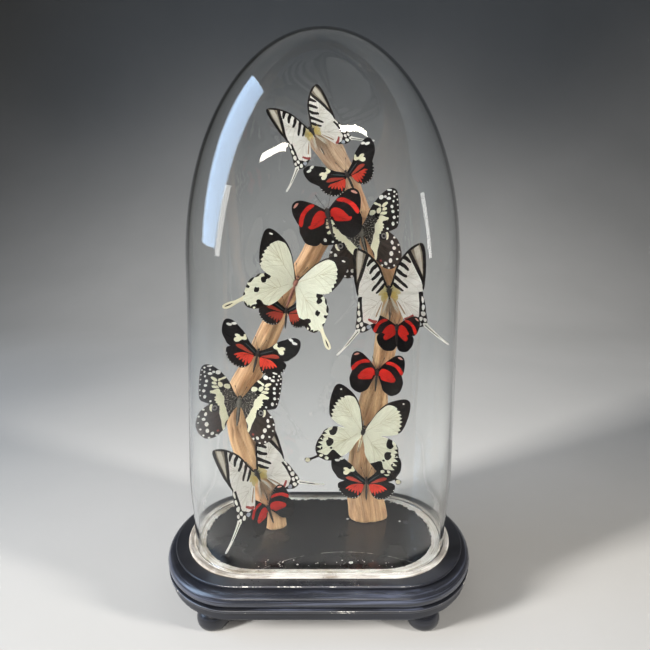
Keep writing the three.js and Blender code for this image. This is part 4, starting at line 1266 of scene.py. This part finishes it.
DARK_MOCKER.update({
    "hind": [
        (1, 0), (26, 3), (34, 2), (41, -3), (45, -10), (48, -17), (50, -25), (49, -32), (46, -37),
        (41, -40), (34, -41), (28, -38.6), (19, -32), (11, -24), (8, -17), (3, -8)],
    "fore_marks": [
        ("cream", [
            (1, -1), (3.4, 6.5), (8, 16.5), (12.4, 25), (18, 31.8), (22, 35.2), (26, 35.8), (30, 35),
            (32.6, 33), (31.6, 31.6), (36, 30.6), (34, 28.2), (38, 26.8), (35.6, 24.4), (39.2, 22.8),
            (36.4, 20.2), (39.8, 18.4), (36.8, 15.8), (39.8, 13.8), (36.8, 11.2), (39.2, 9), (36.2, 6.8),
            (37.2, 3.6), (26, -2), (1, -5)]),
        ("white", spot(38.4, 39.6, 2, 1.9)),
    ],
    "hind_ground": "brown_black",
    "hind_marks": [
        ("cream", [
            (0, 2), (25.4, 4), (27.6, 0), (28.4, -5), (31, -8), (35, -8), (36.6, -3.6), (34, -1.6),
            (33, 4), (37, 3), (38.6, -2.4), (42, -5.4), (38.4, -7.4), (43.6, -9.4), (40, -12), (46, -14),
            (41.4, -16.8), (47.4, -19), (42, -21.8), (48.4, -24.6), (42, -27), (47.6, -30.6), (42, -33),
            (38, -34.4), (35.4, -33), (33, -29), (31, -26.6), (28, -27), (22, -32), (16, -33), (5, -20),
            (0, -8)]),
        ("brown_black", [
            (31, -13.6), (34, -12), (37, -11.6), (36.8, -14), (38.8, -16), (38.2, -19), (37, -21.6),
            (33.8, -22), (31.8, -19.6), (30.6, -16.6)]),
        ("brown_black", spot(32.6, -24.4, 3, 3)),
        ("brown_black", spot(42.6, -13.6, 1.6, 3.4)),
        ("brown_black", spot(42.8, -25.4, 2, 3.6)),
        ("cream", [(34.4, -36.8), (37, -35.6), (38.8, -37.6), (37, -39.8), (34.8, -39.4)]),
        ("cream", [(40.4, -34.6), (43, -33.8), (45, -36), (42.4, -37.6)]),
    ],
    "tail": [
        (40, -32, 7), (45, -36, 3.4), (50, -39.6, 2.6), (54, -42, 3.2), (57, -43.6, 6.4),
        (59.4, -45, 4.4)],
    "tail_ground": "brown_black",
    "tail_marks": [("tail_cream", spot(57, -43.6, 5.6, 5.8))],
    "hind_veins": ((18, -12), 1, 11, 7),
    "furs": ("dark_fur", "brown_fur", "cream_fur"),
})


def sheets_of(kind):
    """The cut sheets and the veins of a kind's forewing, hindwing and tail."""
    fore = cut_sheet(kind["fore"], kind["fore_ground"], kind["fore_marks"])
    hind = cut_sheet(kind["hind"], kind["hind_ground"], kind["hind_marks"], kind["scallop"])
    veins = [vein_lines(kind[wing], *kind[f"{wing}_veins"]) for wing in ("fore", "hind")]
    tail = None
    if "tail" in kind:
        tail = cut_sheet(ribbon(kind["tail"]), kind["tail_ground"], kind["tail_marks"])
    return fore, hind, veins, tail


def mount_butterfly(node, kind, at, heading, lean, turn, lift_left, lift_right, fore_spread, hind_spread,
                    size, pin):
    """Builds a butterfly in its pose, in place of its CAD node. Lengths are in mm.

    Its thorax is at `at`. It is turned in the plane of its wings by `heading`, tipped by `lean` and
    swung by `turn`, in degrees; each side's wings are lifted, and each pair is spread forward.
    """
    fore, hind, veins, tail = kind["sheets"]
    specimen = Specimen()
    flat_places = []
    for side, lift in ((1, lift_right), (-1, lift_left)):
        for sheet, lines, spread, above in ((hind, veins[1], hind_spread, -0.3),
                                            (fore, veins[0], fore_spread, 0.35)):
            lay_wing(specimen, sheet, lines, kind["vein_width"], spread, lift, side, above)
        if tail:
            lay_wing(specimen, tail, [], 0, hind_spread, lift, side, -0.45)
    for x, y, _ in specimen.points:
        flat_places.append((abs(x), y, 0))
    length, head, radius = kind["body"]
    form = kind["form"]
    specimen.add(form.points, form.faces, form.finishes)
    add_fur(specimen, radius, kind["furs"][0], node)
    add_tufts(specimen, kind.get("tufts", []), node)
    add_limbs(specimen, head, radius, "chitin")
    specimen.add_tube([(0, 0, 0), (0, 0, -pin / size)], [PIN_RADIUS / size] * 2, 8, "pin")
    flat_places += [(0, 0, 0)] * (len(specimen.points) - len(flat_places))

    used = sorted(set(specimen.finishes))
    data = bpy.data.meshes.new(f"mounted_{node}")
    data.from_pydata(specimen.points, [], specimen.faces)
    for name in used:
        data.materials.append(FINISHES[name])
    data.polygons.foreach_set("material_index", [used.index(name) for name in specimen.finishes])
    place = data.attributes.new("wing_place", "FLOAT_VECTOR", "POINT")
    place.data.foreach_set("vector", np.array(flat_places, np.float32).ravel())
    stand = Matrix.Translation(Vector(at) * MM) @ Matrix.Rotation(math.radians(90), 4, "X")
    pose = Matrix.Rotation(-math.radians(heading), 4, "Z") @ Matrix.Rotation(math.radians(lean), 4, "X")
    pose = pose @ Matrix.Rotation(math.radians(turn), 4, "Y") @ Matrix.Scale(size * MM, 4)
    data.transform(stand @ pose)
    data.validate()
    mounted = bpy.data.objects.new(f"mounted_{node}", data)
    bpy.context.scene.collection.objects.link(mounted)
    deselect_all()
    mounted.select_set(True)
    bpy.context.view_layer.objects.active = mounted
    bpy.ops.object.shade_smooth_by_angle(angle=math.radians(50))
    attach(mounted, "root")
    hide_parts(node)


def prepare(kind):
    kind["sheets"] = sheets_of(kind)
    kind["form"] = body_form(*kind["body"], *kind["furs"])


prepare(MOCKER)
prepare(DARK_MOCKER)
mount_butterfly("mocker_swallowtail_left", MOCKER, (-22, -22, 316.5), 21, -4, -5, 21, 24, -4, 1, 0.95, 28)
mount_butterfly("mocker_swallowtail_right", DARK_MOCKER, (45, -8, 162.5), 12, 10, -3, 1, 3, 7, -7, 0.95, 27)

# ---------------------------------------------------------------- chequered swallowtails

# Black-brown wings crowded with cream spots, a broad cream band across both wings, a dusted base
# and an eye spot on the leading edge of the hindwing.
CHEQUERED = {
    "fore": [
        (1, 4), (7, 12), (14, 23), (23, 32), (32, 38), (38, 39.6), (42.4, 37.5), (43.6, 32), (43, 22),
        (41.8, 10), (39.6, 3), (34, 0.4), (27, -1.6), (18, -3), (1, -4)],
    "hind": [
        (1, -1), (24, -2.4), (31, -7), (36.4, -14), (38, -22), (36, -30), (31.4, -37.4), (24, -41),
        (17, -41), (12, -38), (9.4, -33), (6.8, -28), (5.8, -17), (3, -7)],
    "fore_ground": "brown_black",
    "hind_ground": "bronze",
    "fore_marks": [
        ("dusted", [
            (0, 2), (5, 11), (10.5, 15.6), (17, 14.8), (19.4, 9.8), (16.4, 7.6), (15.4, 0), (13, -6),
            (0, -6)]),
        ("check_cream", [
            (16.8, 7.4), (18.6, 8.8), (19, 10.6), (21, 11.8), (22.4, 14.6), (25, 15), (28.6, 13),
            (31, 12.6), (31.2, 11), (28, 9.8), (25.4, 9.4), (24.6, 7.4), (26.6, 6.2), (24.6, 5),
            (26, 3.4), (24, 2.2), (24, 0.4), (21.6, -0.6), (21, -4), (13.4, -5), (15.6, 0), (15.8, 4)]),
        ("check_cream", [(23, 16.4), (25.2, 18.4), (29.6, 18.2), (30.2, 16.6), (28, 15.4), (24.6, 15.6)]),
        ("check_cream", [(19.8, 18.6), (20.8, 21.4), (24.2, 22.6), (25, 20.4), (23.4, 17.4), (20.8, 17)]),
        ("check_cream", [(11.8, 16.8), (13.2, 20), (17.8, 20.4), (19, 18.4), (16.6, 16), (13, 15.6)]),
        ("check_cream", [
            (17, 27), (19.4, 27.8), (22.4, 26.4), (25.2, 25.4), (25.2, 23.2), (23.6, 23.4), (21.8, 24.8),
            (19, 25.4)]),
        ("check_cream", [(25.8, 23.4), (27.8, 26), (31.6, 27.4), (32.8, 26.2), (30.4, 24), (27.6, 22.6)]),
        ("check_cream", [(26, 20), (27.6, 22.4), (31, 22), (30.8, 20.4), (28.4, 19.2)]),
        *[("white", spot(x, y, wide, high, tilt)) for x, y, wide, high, tilt in (
            (26.4, 32, 5.4, 4.2, 15), (30.8, 32.2, 2.8, 2.4, 0), (34, 30.4, 4.6, 2.8, 0),
            (34.6, 34.4, 2.2, 2, 0), (35.6, 38, 5.2, 1.7, -6), (29.4, 2, 2.4, 2, 0),
            (40.2, 36, 2.2, 2, 0), (39.6, 31.8, 2, 2.2, 0), (38.4, 27.4, 2, 2.4, 0),
            (36.2, 22.6, 3, 3.4, 0), (36.4, 17.8, 3.2, 3, 0), (37.4, 12.4, 3.2, 3, 10),
            (35.6, 6.4, 3, 3.8, 0))],
        *[("white", spot(x, y, 1.4, 1.6)) for x, y in (
            (42.2, 33.6), (42.4, 28.6), (42, 23.6), (41.8, 18.6), (41.2, 13), (40, 7.4))],
    ],
    "hind_marks": [
        ("dusted", [(0, 0), (15, 0), (12.8, -5), (10.4, -9), (8.2, -13.6), (4, -13)]),
        ("check_cream", [
            (15, 0), (22, 0), (20.6, -2.6), (18.6, -5.6), (17.8, -9), (16.6, -13), (14.6, -17),
            (12.6, -20.6), (10.4, -26), (8, -30), (6.4, -29), (7.8, -24), (7.2, -20), (5.4, -17),
            (8, -13), (10.4, -9), (12.8, -4)]),
        ("black", spot(22.8, -8, 9, 8.6)),
        ("slate", spot(23, -8, 5.6, 5.6)),
        ("black", spot(23, -8, 3, 3)),
        ("check_cream", [
            (25.2, -3.4), (27.4, -4.6), (28.2, -8), (26.6, -11.6), (24.6, -12), (25.6, -9.4),
            (25.8, -6.4)]),
        *[("white", spot(x, y, wide, high, tilt)) for x, y, wide, high, tilt in (
            (30, -15.6, 3, 4.2, 0), (30.4, -21.4, 4.4, 3.4, 25), (26, -26.2, 4, 4.8, -20),
            (23.4, -32.8, 3.6, 4.8, -25), (17.8, -34.8, 3.6, 3.8, 30), (12.6, -36.4, 3.4, 2.2, 20))],
        *[("white", spot(x, y, wide, 2)) for x, y, wide in (
            (33.4, -11.4, 2.8), (36, -19, 2), (34.6, -26, 1.8), (30.6, -32.4, 2.4), (26, -38.2, 2.2),
            (19.8, -39.8, 2.6))],
        ("rose", spot(13, -31.4, 2.8, 2.4)),
    ],
    "fore_veins": ((24, 16), 5, 11, 7),
    "hind_veins": ((17, -15), 2, 9, 7),
    "vein_width": 0.2,
    "scallop": 0.7,
    "body": (26, 9, 3),
    "furs": ("grey_fur", "grey_fur", "dark_fur"),
    "slot": "black_spotted_wing",
}
prepare(CHEQUERED)
mount_butterfly("chequered_swallowtail_top", CHEQUERED, (41.5, -6, 365), -15, 4, -12, 16, 22, -8, 0, 1, 15)
mount_butterfly("chequered_swallowtail_left", CHEQUERED, (-80, -12, 194), 8, 4, 3, 21, 20, 3, 10, 1, 17)

# ---------------------------------------------------------------- kite swallowtails

# Grey-white wings with short black bars from the leading edge, a smoky outer stripe between black
# lines, black and white crescents round the hindwing and a long thin tail.
KITE = {
    "fore": [
        (1, 4), (5, 16), (10, 29), (20, 40.6), (27.6, 45.4), (33, 46), (35.4, 40), (35.8, 26), (34.6, 12),
        (33, 3), (30, 0.5), (19, 0), (1, -2)],
    "hind": [
        (1, 1), (29.4, 1), (32, -4), (34, -12), (34.6, -20), (35.6, -27), (34.6, -32), (30, -34.6),
        (24, -34), (18, -30), (13, -26), (9, -16), (6, -8), (3, -5)],
    "tail": [(29, -28, 7), (35.4, -34.4, 3.8), (42, -41, 2.8), (49, -47.5, 2.2), (55.5, -52.5, 1.8)],
    "fore_ground": "pale",
    "hind_ground": "pale",
    "tail_ground": "white",
    "fore_marks": [
        ("olive", [(0, 3), (3.4, 8.6), (6.5, 6.6), (9.5, 2.8), (11, -2), (0, -3)]),
        ("smoky", [
            (18.6, 39.4), (20, 42), (28, 47), (34, 48), (38, 41), (38, 26), (37, 12), (34, 3), (32.4, 7),
            (31, 14), (27.4, 22), (23.6, 31), (21, 37)]),
        ("pale_streak", [
            (25.4, 43.4), (28.8, 44.4), (31, 38), (31.8, 28), (32.2, 17.4), (30.8, 20.4), (28.4, 28),
            (26, 36)]),
        ("brown_black", [
            (18.4, 40.4), (21.4, 41.2), (23.8, 36), (27.2, 28.4), (30.4, 20.4), (33, 12.4), (34, 5.6),
            (32.4, 3.8), (30.8, 10.6), (27.6, 18.4), (24, 26.8), (21, 33.6)]),
        ("brown_black", [
            (31.6, 48), (37.5, 41), (37.5, 26), (36.5, 12), (33.8, 0.5), (31.6, 3.6), (32.4, 13),
            (32.8, 26), (32.4, 38), (30.4, 44.6)]),
        ("brown_black", [
            (0, 5), (4, 16), (9, 30), (19, 42), (28, 48), (30, 44.6), (21, 39), (12, 28.6), (7, 16.6),
            (3.4, 6)]),
        ("brown_black", [
            (4, 10.4), (6.8, 9.4), (10.2, 5.6), (14.2, 2.2), (12.6, 1), (8.4, 3.6), (4.6, 6.8)]),
        ("brown_black", [
            (6, 17.6), (9, 15.6), (12.4, 11.8), (15.8, 8.6), (18.4, 5), (16.8, 4), (12, 8), (8, 11.6),
            (5.6, 13.8)]),
        ("brown_black", [
            (8.4, 23.6), (11.8, 21.6), (14.4, 18.8), (18.2, 16.4), (17, 14.2), (12.4, 16.4), (9, 19)]),
        ("brown_black", [
            (11.2, 30), (14.8, 28.6), (18, 25.6), (20.2, 21.8), (18.4, 20.8), (14.8, 24), (11.2, 26.4)]),
        ("brown_black", [(16, 36), (19.2, 33.8), (22.4, 29), (20.5, 28.2), (16.4, 31.4), (14.4, 32.6)]),
    ],
    "hind_marks": [
        ("olive", [(0, 2), (5.6, 2), (8.6, -4), (6.4, -8.6), (2, -6)]),
        ("brown", [(7.4, -9), (8.8, -9.8), (15, -20.4), (13.6, -21.2)]),
        ("brown_black", [
            (27.8, 2), (31, 3), (36, -12), (37, -22), (38, -29), (33, -37), (24, -37), (15, -29.4),
            (17.6, -27.6), (21.4, -28.4), (24, -26.4), (27.6, -24.4), (28, -19), (28.4, -10)]),
        ("white", [(30.8, -3.8), (32.4, -6), (32.6, -9), (31.6, -11), (30.6, -8)]),
        ("white", [(31.4, -12), (33.4, -13), (33.2, -16), (31.6, -18), (30.6, -15)]),
        ("white", [(30.2, -19), (33.4, -19.4), (34, -22), (31.8, -24), (29.8, -22)]),
        ("white", [(28.6, -24.6), (31, -25), (31, -27.4), (29.4, -28.8), (28, -27)]),
        ("white", [(32, -26), (34.8, -26.6), (34.8, -29), (32.8, -29.6)]),
        ("white", [(26.4, -29.2), (29, -30), (30.2, -32.6), (28, -33.8), (26, -32)]),
        ("white", [(31.2, -31), (34, -30.8), (35.6, -32), (32.4, -34)]),
        ("blue_grey", [(20, -29.4), (23.4, -28.4), (24.8, -30.2), (23, -32.6), (20.4, -31.2)]),
        ("rose", [(13.4, -25.4), (17.5, -24.3), (21.5, -22), (23, -23.4), (19, -26.6), (15.4, -28)]),
    ],
    "tail_marks": [
        ("brown_black", [
            (28, -27), (35, -33.9), (41, -39.8), (46.6, -45), (46.2, -45.4), (40.6, -40.5), (34.6, -34.6),
            (27, -28)]),
    ],
    "fore_veins": ((22, 18), 5, 10, 7),
    "hind_veins": ((16, -11), 1, 9, 6),
    "vein_width": 0.17,
    "scallop": 0.0,
    "tufts": [
        (2.2, -1, -20, 62, 150, 9, "gold_fur"), (1, -8, -80, 14, 150, 19, "brown_fur"),
        (2, -7, -66, 12, 120, 17, "pale_fur"), (1.6, 2, 60, 60, 50, 4, "dark_fur")],
    "body": (28, 8, 2.6),
    "furs": ("dark_fur", "dark_fur", "pale_fur"),
    "slot": "pale_grey_wing",
}
prepare(KITE)
mount_butterfly("kite_swallowtail_top", KITE, (-6, -5, 460), -31, 2, 20, 8, 0, -3, 10, 0.85, 13)
mount_butterfly("kite_swallowtail_right", KITE, (70, -4, 305), -4, 9, 4, 17, 17, 1, 0, 1.05, 16)
mount_butterfly("kite_swallowtail_bottom", KITE, (-63, -8, 116), -25, -9, 33, 16, 2, -2, 8, 1, 13)

# ---------------------------------------------------------------- longwings

# Black forewings with cream and white patches and a dull red streak, and hindwings with a fan of
# red rays and a fringe of white dots. The shaded copy has its red rays painted a darker red, as
# painted shade.
LONGWING = {
    "fore": [
        (1, 3), (10, 10), (17, 18), (23, 22.5), (30, 27), (35, 28.5), (39.5, 27), (41, 21), (39.5, 13),
        (35, 7), (31, 3), (20, 0), (1, -2)],
    "hind": [
        (1, 1), (20, 3), (31, 0), (31.5, -6), (28.5, -11.5), (24, -15.5), (18, -18), (12, -18), (7, -15),
        (4, -9), (3, -4)],
    "fore_ground": "black",
    "hind_ground": "black",
    "fore_marks": [
        ("teal", [(2.4, 1.4), (7, 4.6), (13.4, 8), (15.4, 8.4), (10, 4.9), (4, 1)]),
        ("dusky_red", [
            (4, -1), (9.5, 2), (14.6, 4.6), (19.4, 6), (23.6, 4.4), (20.4, 2.2), (14, 0.6), (8, -1)]),
        ("white", [(27.4, 25.6), (29.6, 26.6), (32.4, 25.4), (32.6, 24), (30.6, 23.6), (28.4, 24.2)]),
        ("white", [(31.6, 23.6), (33.8, 24.4), (36.6, 24), (37.4, 23), (35.8, 21.8), (32.9, 21.8)]),
        ("check_cream", [
            (14, 12.6), (15.4, 15.6), (16.8, 17.4), (18, 16.4), (17.9, 14.6), (20.4, 13.7), (22.8, 15.4),
            (26.2, 15.2), (26.4, 13.2), (24.6, 12), (26.6, 10.4), (26.2, 8.3), (23.4, 7.4), (20.4, 9),
            (19, 11.4), (16.4, 11)]),
    ],
    "hind_marks": [
        ("coral", [
            (3.2, -2), (8, -1.6), (14, -2), (19, -3.6), (22.8, -6.2), (22, -7), (18.8, -6), (20, -8.4),
            (18.7, -9), (16, -7), (16.8, -10), (15.3, -10.4), (13, -8), (13.2, -11.4), (11.8, -12),
            (10.4, -9), (9.9, -14), (8.6, -13.8), (7.8, -9.4), (6.8, -12), (5.4, -11), (3.4, -6.4)]),
        *[("white", spot(x, y, 0.9, 0.9)) for x, y in (
            (9, -15.6), (12, -17), (15, -17.3), (18, -17.1), (21.4, -15.9), (24.2, -14.4), (26.6, -12.6),
            (28.6, -10), (30.2, -7))],
    ],
    "fore_veins": ((20, 11), 4, 11, 8),
    "hind_veins": ((12, -4), 2, 8, 7),
    "vein_width": 0.16,
    "scallop": 0.3,
    "body": (21, 7, 2),
    "furs": ("dark_fur", "dark_fur", None),
    "slot": "black_red_wing",
}
# The longwing in shade gets its hindwing rays in a darker red: a painted shade.
SHADED_LONGWING = dict(LONGWING)
SHADED_LONGWING["hind_marks"] = [
    ("dusky_red" if finish == "coral" else finish, shape) for finish, shape in LONGWING["hind_marks"]]
prepare(LONGWING)
prepare(SHADED_LONGWING)
mount_butterfly("longwing_top", LONGWING, (28, -6, 419.5), -25, 6, -12, 14, 20, -3, 10, 0.9, 14)
mount_butterfly("longwing_shaded", SHADED_LONGWING, (-32, -8, 287), 5, -2, -10, 14, 20, 0, 4, 0.85, 13)
mount_butterfly("longwing_left", LONGWING, (-61, -9, 244), 15, 3, -5, 10, 13, 0, 1, 1, 14)
mount_butterfly("longwing_bottom", LONGWING, (50, 6, 102), 0, -6, -4, 10, 13, 5, 1, 0.95, 14)

# ---------------------------------------------------------------- red-banded butterflies

# Small and black, with a curved scarlet band across the forewing, a scarlet base on both wings
# and a short pinkish dash near the tip.
RED_BAND = {
    "fore": [
        (1, 3), (6, 10), (11, 15), (16, 19), (21, 20.5), (25, 18.5), (26.5, 13), (26.5, 6), (24.5, 1),
        (20, -1), (10, -1), (1, -2)],
    "hind": [
        (1, 1), (13, 1.5), (22, 0), (25, -5), (25, -11), (23, -16), (19.5, -20), (14, -22), (9.5, -21),
        (5, -17), (3, -10)],
    "fore_ground": "black",
    "hind_ground": "black",
    "fore_marks": [
        ("pink_white", [(19, 18.2), (21.2, 18.9), (24, 17.4), (23.8, 16.5), (21.2, 16.9)]),
        ("scarlet", [
            (7.8, 11.4), (10.6, 12.9), (14.5, 12.9), (19, 11), (23.4, 7.8), (25.8, 4), (25.2, 1.8),
            (23.4, 1.9), (20, 6), (16, 8.8), (12, 9.9), (8.6, 10.2)]),
        ("scarlet", [(2.6, 2.4), (5, 5), (8, 5.2), (12, 3.8), (15, 1.4), (16.6, -2), (1, -3)]),
    ],
    "hind_marks": [
        ("scarlet", [
            (3, 0.6), (6, 2), (13, 2.4), (16.4, -0.4), (14.6, -2.4), (17.2, -4.3), (17.6, -6.8),
            (15.6, -8.8), (10, -8.2), (5, -6.8), (3.2, -5)]),
    ],
    "fore_veins": ((14, 7), 4, 9, 6),
    "hind_veins": ((11, -6), 2, 8, 7),
    "vein_width": 0.15,
    "scallop": 0.3,
    "body": (19, 6, 2),
    "furs": ("dark_fur", "dark_fur", None),
    "slot": "red_banded_wing",
}
prepare(RED_BAND)
mount_butterfly("red_band_top", RED_BAND, (9, -18, 382), -13, 10, 0, 28, 24, -12, 6, 1.25, 26)
mount_butterfly("red_band_side", RED_BAND, (79, 2, 268), 1, -3, -13, 19, 30, -16, -20, 0.95, 13)
mount_butterfly("red_band_middle", RED_BAND, (59.5, 3, 221), 5, -3, -6, 11, 13, 0, 8, 1.05, 13)
mount_butterfly("red_band_bottom", RED_BAND, (-52, -7, 79), -17, 5, 28, 27, 20, 9, 16, 0.95, 13)
